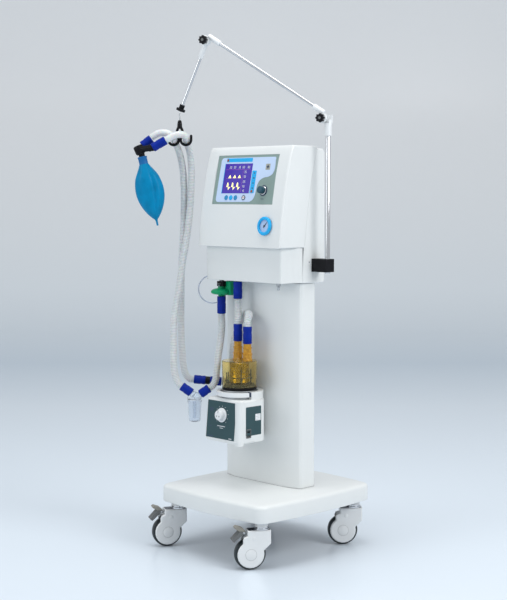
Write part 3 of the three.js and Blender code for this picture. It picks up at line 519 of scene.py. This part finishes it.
BASE_SECTION = [
    (150, 217), (60, 211), (6, 199), (5, 156), (3.5, 155), (1.5, 155), (0.4, 156), (0, 158), (0, 199), (0.5, 203),
    (1.8, 206.4), (4.2, 209.2), (7.5, 211), (12, 212.2), (30, 214.6), (60, 217.8), (95, 220.8), (150, 223),
]
make("base_cover", "cart", "shell_white", (loft([base_plan(i, z) for i, z in BASE_SECTION]), CART, SHELL),
     replaces=("base_shell",))

COLUMN_PLAN = [
    (-180, 48), (-180, -8), (-175, -16), (-166, -20), (-115, -34), (115, -34), (166, -20), (175, -16), (180, -8),
    (180, 48), (172, 58), (-172, 58),
]
dress("column_cover", SHELL, 1.2)
dress("column_rear_panel", SHELL, 0.8)
dress("mast", STEEL, 1)
dress("base_frame", DARK_STEEL, 1)
skirt = [(x * 0.998, y * 0.99) for x, y in COLUMN_PLAN]
make("column_foot", "cart", "shell_white", (flat(skirt, 213, 222.4), CART, SHELL))
seam = [(x * 1.0015, y * 1.004) for x, y in COLUMN_PLAN]
make("column_seal", "cart", "grey_plastic", (flat(seam, 222.4, 223.3), CART, SEAL))

# ---------------------------------------------------------------- head
for name in ("front_cover", "neck_cover", "rear_cover"):
    dress(name, SHELL, 1.6)
dress("pneumatic_module", STEEL, 1)
dress("control_panel", PLATE, 0.4)

MEMBRANE_EDGE = [
    (131, 62), (132.5, 46), (131, 30), (124, 17), (107.5, 9), (90, 6.5), (76, 1), (66, -8), (61, -21), (59.5, -36),
    (57, -53), (50, -67), (36, -75),
]
membrane = rounded([(36, -75.5), (-129, -76), (-127.6, 75), (131.9, 75), (131, 62)], 14)[7:-7]
membrane += [(p.x, p.y) for p in spline([(x, y, 0) for x, y in MEMBRANE_EDGE], 5)]
key_holes = [circle(8.7, x, -61.3) for x in (-78.5, -56, -33.5, 6)]
make("panel_membrane", "cart", "panel_green", (flat([membrane, *key_holes], 0.52, 0.9), PANEL, MEMBRANE))


def plates(outlines, z0, z1, surface):
    return [(flat(outline, z0, z1), PANEL, surface) for outline in outlines]


DIGIT_BARS = {"0": "abcdef", "1": "bc", "2": "abged", "3": "abgcd", "4": "fgbc", "5": "afgcd", "8": "abcdefg"}


def digit(value, x, y, h):
    """A number in seven bars, its lower left corner at x, y."""
    w, t = h * 0.55, h * 0.13
    bars = {
        "a": (x, y + h - t, x + w, y + h), "d": (x, y, x + w, y + t),
        "g": (x, y + (h - t) / 2, x + w, y + (h + t) / 2),
        "f": (x, y + h / 2, x + t, y + h), "e": (x, y, x + t, y + h / 2),
        "b": (x + w - t, y + h / 2, x + w, y + h), "c": (x + w - t, y, x + w, y + h / 2),
    }
    return [rect(*bars[bar]) for bar in DIGIT_BARS[value]]


display = plates([rect(-104, -46.4, 27, 54.5, 1)], 0.9, 1.3, SCREEN)
traces = []
for k in range(3):
    x = -75 + 23 * k
    traces.append([(x - 7, 5.5), (x + 7, 5.5), (x + 1.5, 15.6), (x - 0.5, 15.6)])
    x = -80 + 23.5 * k
    traces.append([(x - 5, -24.5), (x + 4, -24.5), (x + 3.2, -14), (x + 1, -10), (x - 2, -9.5), (x - 3.4, -15)])
    traces.append([(x + 4.5, -35.5), (x + 2.5, -25), (x + 13, -25), (x + 9, -30)])
display += plates(traces, 1.3, 1.45, GLOW_YELLOW)
lines = [rect(-92, 4.6, -17, 5.3), rect(-92, -25.2, -17, -24.6), rect(-100, 34, 20, 34.6), rect(-14, -42, -13.4, 30)]
display += plates(lines, 1.3, 1.4, GLOW_PINK)
readouts = []
for value, x in (("2", -82), ("0", -62), ("1", -40), ("5", -20), ("8", 5)):
    readouts += digit(value, x, 38, 8) + digit("0", x + 6, 38, 8)
for value, y in (("3", 22), ("5", 6), ("2", -11), ("4", -27), ("1", -42)):
    readouts += digit(value, -8, y, 8) + digit("5", -2, y, 8)
display += plates(readouts, 1.3, 1.45, GLOW_PALE)
make("display_face", "cart", "display", *display, replaces=("display_window",))

strips = plates([rect(-101, 60, 23, 73, 1.5), rect(30, -46, 50, 30, 2), rect(-106, -47.5, -104.4, 56)], 0.9, 1.3, CYAN)
strips += plates([rect(35 + 3, 20 - 17 * k, 44, 24 - 17 * k) for k in range(4)], 1.3, 1.4, INK)
strips += plates([rect(30.4, 13.5 - 17 * k, 49.6, 13.9 - 17 * k) for k in range(3)], 1.3, 1.36, DEEP_CYAN)
strips += plates([circle(4.6, -95, 66), circle(4.6, 39, -39.5)], 1.3, 1.9, LAMP)
make("soft_keys", "cart", "key_cyan", *strips)
make("panel_pictogram", "cart", "panel_green", *plates([rect(89.6, 32, 109.6, 52, 1.5)], 0.9, 1.2, PICTOGRAM),
     *plates([rect(97.6, 36, 101.6, 48), rect(93.6, 40, 105.6, 44)], 1.2, 1.3, INK))
make("knob_mark", "cart", "black_plastic", *plates([rect(86, -66, 100, -64.4)], 0.52, 0.62, INK))


def key_cap(r=8.2):
    return lathe([(0, -1.4), (r - 0.5, -1.4), (r, -1), (r, 1.6), (r - 0.6, 2.3), (r * 0.5, 2.7), (0, 2.8)], 40)


for number, (x, surface) in enumerate(((-78.5, DEEP_CYAN), (-56, CYAN), (-33.5, DEEP_CYAN)), 1):
    spot = placed(PANEL, (x, -61.3, 0))
    name = f"menu_key_{number}"
    make(name + "_cap", name, "key_cyan", (key_cap(), spot, surface), replaces=(name,))
alarm_spot = placed(PANEL, (6, -61.3, 0))
alarm_ring = lathe([(5.6, 2.5), (5.6, 2.9), (8.2, 2.7), (8.2, 1.8), (5.6, 2.5)], 40)
alarm_marks = [
    (flat(rect(x - 1, y - 0.8, x + 1, y + 0.8), 2.6, 3.1), alarm_spot, RED) for x, y in ((-2, 0), (2, 0), (0, 1.8))
]
make("alarm_key_cap", "alarm_key", "alarm_red", (key_cap(), alarm_spot, WHITE_PRINT), (alarm_ring, alarm_spot, INK),
     *alarm_marks, replaces=("alarm_key",))


def fluted(r, z0, z1, count, depth, edge=1.0):
    """A grip with rounded flutes round its side."""
    rings = []
    for z, inset in ((z0, edge), (z0 + edge, 0), (z1 - edge, 0), (z1 - edge * 0.3, edge * 0.7), (z1, edge * 1.6)):
        ring = []
        for i in range(count * 8):
            a = 2 * math.pi * i / (count * 8)
            here = r - inset + depth * math.cos(count * a)
            ring.append((here * math.cos(a), here * math.sin(a), z))
        rings.append(ring)
    return loft(rings)


encoder = placed(PANEL, (94, -37.5, 0))
encoder_foot = [(0, -2), (3.5, -2), (3.5, 1.2), (14.4, 1.2), (14.6, 3.4), (13.4, 5), (12.2, 5.2), (0, 5.2)]
make("encoder_grip", "encoder_knob", "knob_blue",
     (lathe(encoder_foot, 56), encoder, CHROME), (fluted(11.4, 5, 21, 18, 0.25, 1.3), encoder, KNOB),
     replaces=("encoder_knob",))
well = lathe([(14.9, 0.5), (14.9, 0.95), (18, 0.7), (18, 0.5), (14.9, 0.5)], 56)
make("encoder_well", "cart", "panel_green", (well, encoder, INK))

# ---------------------------------------------------------------- gauge
bezel = [
    (20.6, 3.4), (20.6, 7), (22.5, 9), (25.5, 9.6), (28, 9), (30, 7.2), (30.8, 4), (30.6, 1.5), (20.6, 1.5),
    (20.6, 3.4),
]
ticks = []
for k in range(25):
    turn = 225 - 270 * k / 24
    tick = placed(GAUGE, (0, 0, 0), rz=turn)
    ticks.append((box(3.6 if k % 4 == 0 else 2, 0.45, 0.2, 17.6, 0, 3.75), tick, INK))
make("gauge_case", "cart", "key_cyan", (lathe(bezel, 72), GAUGE, CYAN),
     (rod(20.9, 1.7, 3.6, 56, 0.2), GAUGE, DIAL_FACE), *ticks, replaces=("gauge_bezel",))
dress("gauge_needle", BLACK, 0.15)

# ---------------------------------------------------------------- casters
TURNS = {"front_right": 238, "front_left": 243, "rear_right": 228, "rear_left": 240}
TYRE_SECTION = [
    (5.5, -12), (30, -12), (36, -12.4), (38, -14), (45.5, -14), (48.4, -12.8), (50.2, -10.2), (51, -6.5), (51, 6.5),
    (50.2, 10.2), (48.4, 12.8), (45.5, 14), (38, 14), (36, 12.4), (30, 12), (5.5, 12), (5.5, -12),
]
WHEEL_DISC = [(5.6, -12.3), (29, -12.3), (31, -11.8), (31, 11.8), (29, 12.3), (5.6, 12.3), (5.6, -12.3)]
SWIVEL_HEAD = [
    (0, 130), (25, 130), (25, 133.5), (21.4, 134.5), (21.4, 138), (19.5, 139), (19.5, 147), (21.4, 148), (21.4, 155.8),
    (0, 155.8),
]
for name, turn in TURNS.items():
    right, front = name.endswith("right"), name.startswith("front")
    swivel = placed(CART, (205 if right else -205, -222 if front else 222, 0), rz=turn)
    fork, axle = "fork_" + name, placed(swivel, (38, 0, 51), rx=90)
    dress("caster_fork_" + name, COVER, 1.2)
    make("caster_tyre_" + name, "wheel_" + name, "caster_tyre", (lathe(TYRE_SECTION, 72), axle, TYRE),
         (lathe(WHEEL_DISC, 40), axle, COVER),
         replaces=("caster_wheel_" + name,))
    make("caster_swivel_" + name, fork, "plain_steel", (lathe(SWIVEL_HEAD, 48), swivel, CHROME),
         (flat(rounded([(-25, -18), (45, -18), (45, 18), (-25, 18)], 5), 129.1, 130), swivel, DARK_STEEL))
    trims = []
    for face in (22, -22):
        out = 1 if face > 0 else -1
        hub = placed(swivel, (38, face, 51), rx=-90 * out)
        trims.append((lathe([(0, -0.6), (17.4, -0.6), (17.4, 0.5), (16.4, 0.9), (0, 1.1)], 48), hub, COVER))
        trims.append((lathe([(17.9, -0.5), (17.9, 0.25), (18.8, 0.25), (18.8, -0.5), (17.9, -0.5)], 48), hub, SEAL))
        boss = placed(swivel, (27.6, face, 102), rx=-90 * out)
        trims.append((lathe([(0, -0.6), (7, -0.6), (7, 0.3), (6.4, 0.6), (0, 0.7)], 32), boss, COVER))
    make("caster_trims_" + name, fork, "shell_white", *trims)
    if front:
        upright = placed(swivel, rx=90)
        lower = rounded([(53, 116), (63, 118), (92, 92), (100, 99), (72, 128), (60, 127), (53, 124)], 3)
        upper = rounded([(58, 124), (74, 127), (91, 137), (84, 143), (64, 136), (55, 128)], 3)
        pin = placed(swivel, (60, 0, 122), rx=90)
        make("brake_pedal_" + name, "lever_" + name, "grey_plastic", (flat(lower, -16.6, 16.6), upright, GREY),
             (flat(upper, -15.6, 15.6), upright, TAUPE), (rod(3.2, -18.6, 18.6, 24), pin, STEEL),
             replaces=("brake_lever_" + name,), bevel=1.4)

# ---------------------------------------------------------------- arm
along_upper = placed(UPPER_ARM, (0, 5, 17.5), ry=90)
along_lower = placed(LOWER_ARM, (0, -6.8, 0), ry=90)
axis_upper, axis_lower = placed(UPPER_ARM, rx=-90), placed(LOWER_ARM, rx=-90)
far_axis = placed(UPPER_ARM, (ARM_REACH, 0, 0), rx=-90)


def elbow_disc(y0, y1, r=16.0):
    top = y1 + 0.1
    return lathe([(0, y0), (r - 1.2, y0), (r, y0 + 1.2), (r, y1 - 1.6), (r - 2, y1), (r - 5, top), (0, top)], 48)


def sleeve(z0, z1, r):
    return lathe([(0, z0), (r - 1.5, z0), (r, z0 + 1.5), (r, z1 - 2), (r - 0.5, z1 - 0.6), (r - 1.6, z1), (0, z1)], 40)


dress("arm_clamp", BLACK, 2.5)
dress("pole_head", SLEEVE, 1.2)
make("clamp_screw", "cart", "plain_steel", (rod(3.4, -1.2, 1.4, 20, 0.5), placed(CART, (222, -20, 978), rx=90), STEEL))
pole_section = [(0, 946), (6.6, 946), (7.8, 947.5), (7.8, 1398.4), (7, 1399.8), (0, 1399.8)]
make("pole_tube", "pole", "chrome_tube", (lathe(pole_section, 40), ARM, CHROME),
     (lathe([(0, 940), (8.9, 940), (9.4, 941), (9.4, 944.6), (0, 944.6)], 32), ARM, CHROME), replaces=("arm_pole",))
make("upper_arm_tube", "upper_arm", "chrome_tube", (rod(6, 40, ARM_REACH - 46, 36), along_upper, CHROME),
     (sleeve(4, 46, 9.3), along_upper, SLEEVE), (sleeve(ARM_REACH - 52, ARM_REACH - 2, 9.3), along_upper, SLEEVE),
     (elbow_disc(0.4, 12.9), axis_upper, SLEEVE), (elbow_disc(0.4, 12.9), far_axis, SLEEVE), replaces=("upper_arm",))
make("lower_arm_tube", "lower_arm", "chrome_tube", (rod(5.5, 50, LOWER_REACH + 12, 36), along_lower, CHROME),
     (sleeve(6, 62, 8.4), along_lower, SLEEVE), (elbow_disc(-12.9, -0.4, 14), axis_lower, SLEEVE),
     replaces=("lower_arm",))
for name, body, spot in (("lower", "shoulder_knob", ELBOW_1), ("upper", "elbow_knob", ELBOW_2)):
    turned = placed(ARM, (spot[0], 13.4, spot[1]), rx=-90)
    make(f"star_knob_{name}", body, "black_plastic", (fluted(13.6, 6, 21, 8, 1.6, 1.8), turned, BLACK),
         (rod(7, 0.2, 8, 28), turned, BLACK), (rod(4.5, 20.5, 21.4, 24, 0.3), turned, GREY),
         replaces=(f"elbow_knob_{name}",))
collar_frame = placed(ARM, (ARM_END[0], -6.8, ARM_END[1]), ry=ARM_DROP - 90)
collar_top = [(0, -18), (5, -18), (7.6, -17.2), (8.8, -15), (9, 5), (7.4, 6.2), (5.9, 6.2), (5.9, -12.4), (0, -12.4)]
make("collar_flange", "rod_collar", "black_plastic", (lathe(collar_top, 36), collar_frame, BLACK),
     (fluted(15.8, -16.6, -8, 8, 0.5, 1.6), collar_frame, BLACK), replaces=("hanger_collar",))

hooks = []
for side, tip in ((-1, 1400), (1, 1385)):
    line = [(0, 0, 1441), (side * 2, 0, 1430), (side * 9, 0, 1413), (side * 7.5, 0, 1399)]
    for k in range(13):
        turn = math.pi * (1 + k / 12)
        line.append((side * (20.8 + 17.7 * math.cos(turn)), 0, 1383 + 17.7 * math.sin(turn)))
    line.append((side * 38.5, 0, tip))
    swept = spline(line, 2)
    hooks.append((sweep(swept, lambda i, n=len(swept): 4.5 * min(1, 0.55 + 0.3 * (n - 1 - i)), 16), HANGER, BLACK))
hub = [(0, 1420), (6, 1420), (8.6, 1424), (8, 1436), (6.4, 1446), (3.6, 1449), (0, 1449)]
make("hanger_hooks", "hanger", "black_plastic", *hooks, (lathe(hub, 32), HANGER, BLACK),
     (rod(2.4, 1446, 1472, 20, 0.3), HANGER, STEEL), replaces=("hose_hanger",))

# ---------------------------------------------------------------- humidifier
dress("humidifier_body", SHELL, 1.6)
dress("heater_plate", STEEL, 0.8)
dress("humidifier_bracket", STEEL)
dress("rocker_switch", BLACK, 0.8)
front_marks = [rect(-64, 34, -44, 38), rect(-62, 28, -47, 32), rect(-66, -24, -50, -21), rect(-68, -57, -38, -54)]
front_prints = [rect(-22, -20, 16, -18), rect(-10, -26, 6, -24.4), rect(36, -57, 50, -55)]
for k in range(11):
    turn = math.radians(225 - 27 * k)
    centre = Vector((-3 + 30 * math.cos(turn), 18 + 30 * math.sin(turn)))
    front_prints.append(circle(1.2, *centre, 8))
make("humidifier_front", "cart", "panel_green",
     (flat(rect(-74, -61, 62, 63, 2), 0.5, 1.1), HUMIDIFIER_FRONT, TEAL),
     *[(flat(mark, 1.1, 1.2), HUMIDIFIER_FRONT, INK) for mark in front_marks],
     *[(flat(mark, 1.1, 1.22), HUMIDIFIER_FRONT, WHITE_PRINT) for mark in front_prints])
side_wall = placed(HUMIDIFIER, (84, 0, 0)) @ SIDEWAYS
flank = rounded([(70, -12), (83.9, -12), (83.9, 26), (74, 44), (50, 58), (40, 40)], 9)
make("humidifier_flank", "cart", "shell_white", (flat(flank, 380, 518), HUMIDIFIER, SHELL), bevel=3)
make("humidifier_side", "cart", "panel_green",
     (flat([rect(-51, 404, 19, 500, 3), rect(-48, 399, -30, 425, 1)][0], 0.1, 0.7), side_wall, TEAL),
     (flat(rect(-8, 452, 16, 474, 1), 0.7, 0.8), side_wall, WHITE_PRINT),
     *[(flat(rect(-5 + 7 * (k % 2), 455 + 5 * k, 13, 456 + 5 * k), 0.8, 0.85), side_wall, SEAL) for k in range(4)])
make("switch_frame", "cart", "grey_plastic",
     (flat([rect(-49.5, 397, -28.5, 427, 2), rect(-47, 400.5, -31, 423.5, 1)], 0.2, 2.2), side_wall, GREY), bevel=0.5)
dial_section = [
    (0, -8), (4.6, -8), (4.6, 1.4), (23.4, 1.4), (24, 2.4), (23.6, 4), (18.4, 5.6), (17.6, 8), (16.8, 17),
    (15.4, 19.4), (13, 20), (0, 20),
]
dimples = [(rod(3, 19.6, 20.3, 24, 0.2), placed(DIAL, (x, y, 0)), SEAL) for x, y in ((-6, -4), (6, -4))]
make("dial_knob", "humidifier_dial", "shell_white", (lathe(dial_section, 64), DIAL, SLEEVE),
     (box(1.4, 9, 0.5, 0, 11, 20.1), DIAL, INK), *dimples, replaces=("humidifier_dial",))


def sector(r0, r1, start, end, steps=48):
    turns = [math.radians(start + (end - start) * k / steps) for k in range(steps + 1)]
    outer = [(r1 * math.cos(a), r1 * math.sin(a)) for a in turns]
    return outer + [(r0 * math.cos(a), r0 * math.sin(a)) for a in reversed(turns)]


make("guard_ring", "chamber_guard", "shell_white", (flat(sector(65, 78, 165, 341), 530, 544), HUMIDIFIER, SLEEVE),
     replaces=("chamber_guard",), bevel=2.4)
make("guard_catch", "cart", "black_plastic", (flat(sector(64, 80.4, 343.2, 345), 531, 546.4), HUMIDIFIER, INK))
base_ring = [
    (0, 548.2), (56, 548.2), (58, 549.5), (58, 552), (57, 553), (58, 554), (57.5, 556.6), (55.5, 557.2), (0, 557.2),
]
make("chamber_foot", "cart", "black_plastic", (lathe(base_ring, 72), HUMIDIFIER, BLACK), replaces=("chamber_base",))
dome = [
    (54.4, 557.6), (57, 557.6), (57.4, 560), (57.2, 563), (59, 638), (59.6, 640), (59.2, 643), (57, 645), (0, 645),
    (0, 643), (56, 643), (57, 641.6), (57.2, 638), (55.4, 562), (54.4, 557.6),
]
dome_shape = lathe(dome, 72)
ports = []
for x, y, top in ((-23, 15, 706.6), (23, 15, 700.6)):
    port = [
        (0, 645.1), (17, 645.1), (17, 648), (15.4, 650), (15, 664), (16.6, 665.4), (16.6, 668), (14.4, 669.6),
        (14, 684), (15.4, 685.4), (15.4, 688), (13.4, 689.6), (13, top), (0, top),
    ]
    ports.append((lathe(port, 40), placed(HUMIDIFIER, (x, y, 0)), PORT_AMBER))
make("chamber_dome", "cart", "chamber_amber", (dome_shape, HUMIDIFIER, AMBER), *ports, replaces=("humidifier_chamber",))
drum = [(0, 558), (32, 558), (33, 559), (33, 566), (32.4, 567), (32.4, 636), (31, 638), (0, 638)]
floats = []
for turn in (-150, -100, -35, 15, 80, 140):
    spot = placed(HUMIDIFIER, (45 * math.cos(math.radians(turn)), 45 * math.sin(math.radians(turn)), 0))
    floats.append((rod(1.6, 558, 622 - abs(turn) / 8, 12, 0.3), spot, INK))
    floats.append((rod(4.4, 584 + turn / 12, 590 + turn / 12, 16), spot, INK))
make("chamber_core", "cart", "chamber_amber", (lathe(drum, 56), HUMIDIFIER, GOLD),
     (lathe([(0, 557.8), (33.8, 557.8), (33.8, 571), (33.2, 572), (0, 572)], 56), HUMIDIFIER, BLACK),
     (lathe([(32.5, 586), (33.2, 586), (33.2, 588.6), (32.5, 588.6), (32.5, 586)], 56), HUMIDIFIER, INK),
     (rod(51, 557.7, 566, 56), HUMIDIFIER, INK), *floats)

# ---------------------------------------------------------------- cuffs, valve, trap and coupler


def cuff(length, r=15.0):
    """A soft cuff along Z with a gripping waist and three fine ribs."""
    waist, ribs = length * 0.62, []
    for k in range(3):
        z = length * 0.12 + 4.2 * k
        ribs += [(r, z), (r - 0.7, z + 0.5), (r - 0.7, z + 1.1), (r, z + 1.6)]
    profile = [(0, 0), (r - 2.4, 0), (r - 0.6, 0.8), (r, 2.2), *ribs]
    profile += [(r, waist - 4), (r - 0.9, waist), (r - 0.9, waist + 3), (r - 0.1, waist + 7),
                (r, length - 2.4), (r - 0.7, length - 0.7), (r - 2.4, length), (0, length)]
    return lathe(profile, 44)


for name, x, y, low, high in (
    ("chamber_inlet_cuff", -32, -100, 707, 765), ("chamber_outlet_cuff", 14, -100, 701, 759),
    ("gas_outlet_cuff", -46, -87, 848, 906), ("exhalation_cuff", -127, -87, 793, 852),
):
    parts = [(cuff(high - low), placed(CART, (x, y, low)), BLUE)]
    make(name + "_sleeve", "cart", "cuff_blue", *parts, replaces=(name,))

valve = placed(CART, (-127, -87, 0))
disc = [
    (0, 853), (10, 853), (11.4, 854), (12, 857), (20, 858.4), (31, 860), (35, 863), (36.4, 867), (35.4, 871), (31, 875),
    (22, 878), (14, 879.4), (12, 883), (12, 890), (0, 890),
]
make("valve_body", "cart", "valve_green", (lathe(disc, 64), valve, GREEN),
     (loft([[(x, y, z) for x, y in rect(-10, -13, 20, 13, 3)] for z in (887, 904)]), valve, BLACK),
     (loft([[(x, y, z) for x, y in rect(12, 2, 42, 26, 5)] for z in (857, 904.5)]), valve, GREEN),
     (rod(6, 903, 908.4, 24), placed(valve, (5, 0, 0)), BLACK),
     (rod(2.6, 0, 12, 16), placed(valve, (8, -12, 896), rx=90), GREY),
     replaces=("exhalation_valve",), bevel=0.8)
nipple = [(0, 884), (3, 884), (4.6, 887), (3.2, 890), (4.8, 893), (3.4, 896), (7, 898), (7, 908.6), (0, 908.6)]
make("gas_nipple", "cart", "plain_steel", (lathe(nipple, 32), placed(CART, (130, -70, 0)), STEEL))

cap = [(0, 506), (22, 506), (23.6, 507.4), (24, 512), (23, 520), (19, 526.5), (13, 531.6), (6, 534.4), (0, 535)]
left, right = aimed(TRAP, (0, 0, 522), (-43.8, 0, 553)), aimed(TRAP, (0, 0, 511), (49.5, 0, 546))
make("trap_head", "cart", "cuff_blue", (lathe(cap, 48), TRAP, CLEAR), (rod(10.5, 0, 40, 32), left, CLEAR),
     (rod(10.5, 0, 40, 32), right, CLEAR), (cuff(41), placed(left, (0, 0, 12.4)), BLUE),
     (cuff(36), placed(right, (0, 0, 24.4)), BLUE), replaces=("trap_cap",))
cup = [
    (0, 433), (16, 433), (18.6, 434), (20, 437), (23, 498), (24.2, 499), (24.4, 504.6), (21.4, 504.6), (21, 498),
    (18, 438), (16.6, 435.6), (0, 435.4),
]
make("trap_bowl", "trap_cup", "cup_clear", (lathe(cup, 48), TRAP, CLEAR),
     (lathe([(4.4, 444), (5.6, 444), (6.4, 504), (5.2, 504), (4.4, 444)], 28), TRAP, CLEAR), replaces=("trap_cup",))
joint = aimed(CART, (-175, -171, 570), (-109, -104, 562))
make("coupler_cuffs", "cart", "cuff_blue", (cuff(39.5), joint, BLUE),
     (rod(13.6, 38.5, 55.5, 40), joint, BLACK), (cuff(39.5), placed(joint, (0, 0, 94), rx=180), BLUE),
     replaces=("hose_coupler",))

# ---------------------------------------------------------------- Y-piece and test lung
front_cuff = aimed(HANGER, (45.6, 27, 1380.6), (90, 27, 1355))
back_cuff = aimed(HANGER, (96.6, -8, 1387.5), (130, -6, 1362))
branch = aimed(HANGER, (90, 27, 1355), (138, 9, 1350))
elbow = aimed(HANGER, (142, 6, 1361), (130, 6, 1333))
lean = math.radians(12.5)
spigot = aimed(HANGER, (128 + 20 * math.sin(lean), 6, 1327 + 20 * math.cos(lean)), (128, 6, 1327))
branch_shape = [(0, -12), (10.4, -12), (11, -11), (11, 8), (11.8, 9), (11.8, 12), (10.6, 13), (10.6, 46), (0, 46)]
elbow_shape = [(0, -2.5), (11, -2.5), (15.4, -1), (17, 2.4), (17, 20), (16.4, 24), (14, 28.6), (12, 29), (0, 29)]
make("patient_y", "hanger", "black_plastic", (cuff(50.6), placed(front_cuff, (0, 0, 0.4)), BLUE),
     (cuff(39.6), placed(back_cuff, (0, 0, 0.4)), BLUE),
     (lathe(branch_shape, 36), branch, BLACK),
     (lathe(elbow_shape, 48), elbow, BLACK), (rod(10.5, 0, 41.5, 32), spigot, BLACK), replaces=("y_piece",))

LUNG_PROFILE = [
    (27, 15.5), (40, 22), (55, 31), (75, 41), (100, 47), (120, 48.5), (145, 46), (170, 38), (195, 25), (212, 12),
    (219, 5.2), (223, 3.9), (240, 3.2),
]
FOLD_AT = math.radians(112)  # where the fold runs down the lung's outer side
leaf = []
for point in spline([(s, r, 0) for s, r in LUNG_PROFILE], 3):
    s, r = point.x, point.y
    fullness = math.sin(math.pi * min(1, (s - 27) / 194))
    ring = []
    for i in range(96):
        a = 2 * math.pi * i / 96
        off = a - FOLD_AT - 0.10 * math.sin(math.pi * s / 150)
        fold = 0.15 * math.exp(-((off / 0.10) ** 2)) - 0.05 * math.exp(-(((off - 0.26) / 0.15) ** 2))
        crease = 0.025 * math.sin(9 * a + s / 14) * math.exp(-(((s - 52) / 22) ** 2))
        share = 1 - fullness * fold + crease
        thick = r * (1 - 0.42 * fullness)
        ring.append((r * share * math.cos(a), max(thick, 3) * share * math.sin(a), -s))
    leaf.append(ring)
collar = [(0, -1), (14.2, -1), (16, -1.8), (16.4, -3.4), (16, -5), (15.2, -6.4), (15, -22), (15.4, -29), (0, -29)]
make("lung_bag", "hanger", "lung_teal", (loft(leaf), LUNG, LUNG_TEAL), (lathe(collar, 48), LUNG, LUNG_DARK),
     replaces=("test_lung",))

# ---------------------------------------------------------------- studio
FLOOR_REACH, WALL_AT, WALL_TOP, SWEEP_R = 14.0, 9.0, 12.0, 2.2
BACKDROP_RUN = 14.54  # metres along the floor and up the wall over which the painted light and shade change
away = Vector((-math.sin(math.radians(CAMERA_AZIMUTH)), math.cos(math.radians(CAMERA_AZIMUTH)), 0))
across_view = Vector((away.y, -away.x, 0))
section = [(-FLOOR_REACH, 0.0), (WALL_AT - SWEEP_R, 0.0)]
for k in range(1, 16):
    turn = math.radians(6 * k)
    section.append((WALL_AT - SWEEP_R + SWEEP_R * math.sin(turn), SWEEP_R - SWEEP_R * math.cos(turn)))
section += [(WALL_AT, WALL_TOP)]
rows = [
    [tuple(away * s + across_view * w + Vector((0, 0, z))) for s, z in section] for w in (-FLOOR_REACH, FLOOR_REACH)
]
backdrop_mesh = bpy.data.meshes.new("backdrop")
n = len(section)
backdrop_mesh.from_pydata(rows[0] + rows[1], [], [[k, k + 1, n + k + 1, n + k] for k in range(n - 1)])
backdrop_mesh.shade_smooth()
backdrop = bpy.data.objects.new("backdrop", backdrop_mesh)
scene.collection.objects.link(backdrop)
studio = bpy.data.materials.new("studio_sweep_painted_light")
studio.use_nodes = True
tree = studio.node_tree
place = tree.nodes.new("ShaderNodeTexCoord")
along = tree.nodes.new("ShaderNodeVectorMath")
along.operation = "DOT_PRODUCT"
along.inputs[1].default_value = (away.x, away.y, 1.0)
run = tree.nodes.new("ShaderNodeMapRange")
run.inputs["From Max"].default_value = BACKDROP_RUN
# The ramp paints the studio's light into the backdrop's colour: painted shade in a darker band on the floor behind the
# cart, and painted light growing brighter up the wall.
painted_light_ramp = tree.nodes.new("ShaderNodeValToRGB")
for reach, tone in (
    (3.0, (0.70, 0.77, 0.84)), (4.95, (0.58, 0.67, 0.76)), (8.3, (0.88, 0.93, 0.97)), (11.1, (1.0, 1.0, 1.0)),
    (13.3, (0.98, 0.99, 1.0)),
):
    painted_light_ramp.color_ramp.elements.new(reach / BACKDROP_RUN).color = (*tone, 1)
painted_light_ramp.color_ramp.elements[0].color = (0.70, 0.77, 0.84, 1)
painted_light_ramp.color_ramp.elements[-1].color = (0.92, 0.96, 1.0, 1)
sweep_shader = tree.nodes["Principled BSDF"]
sweep_shader.inputs["Roughness"].default_value = 0.28
sweep_shader.inputs["Specular IOR Level"].default_value = 0.35
tree.links.new(place.outputs["Object"], along.inputs[0])
tree.links.new(along.outputs["Value"], run.inputs["Value"])
tree.links.new(run.outputs["Result"], painted_light_ramp.inputs["Fac"])
tree.links.new(painted_light_ramp.outputs["Color"], sweep_shader.inputs["Base Color"])
backdrop_mesh.materials.append(studio)

world = bpy.data.worlds.new("studio")
world.use_nodes = True
world.node_tree.nodes["Background"].inputs["Color"].default_value = (0.93, 0.965, 1.0, 1)
world.node_tree.nodes["Background"].inputs["Strength"].default_value = 0.62
scene.world = world


def softbox(name, at, watts, size, tint=(1, 1, 1)):
    light = bpy.data.lights.new(name, "AREA")
    light.energy, light.size, light.color = watts, size, tint
    obj = bpy.data.objects.new(name, light)
    obj.location = at
    obj.rotation_euler = (Vector((0, 0, 0.9)) - Vector(at)).to_track_quat("-Z", "Y").to_euler()
    scene.collection.objects.link(obj)


softbox("key", (4.0, 0.6, 3.0), 92, 2.0)
softbox("fill", (-1.2, -4.2, 2.4), 50, 2.4, (0.95, 0.98, 1.0))
softbox("top", (0.2, -0.4, 4.2), 60, 2.2)
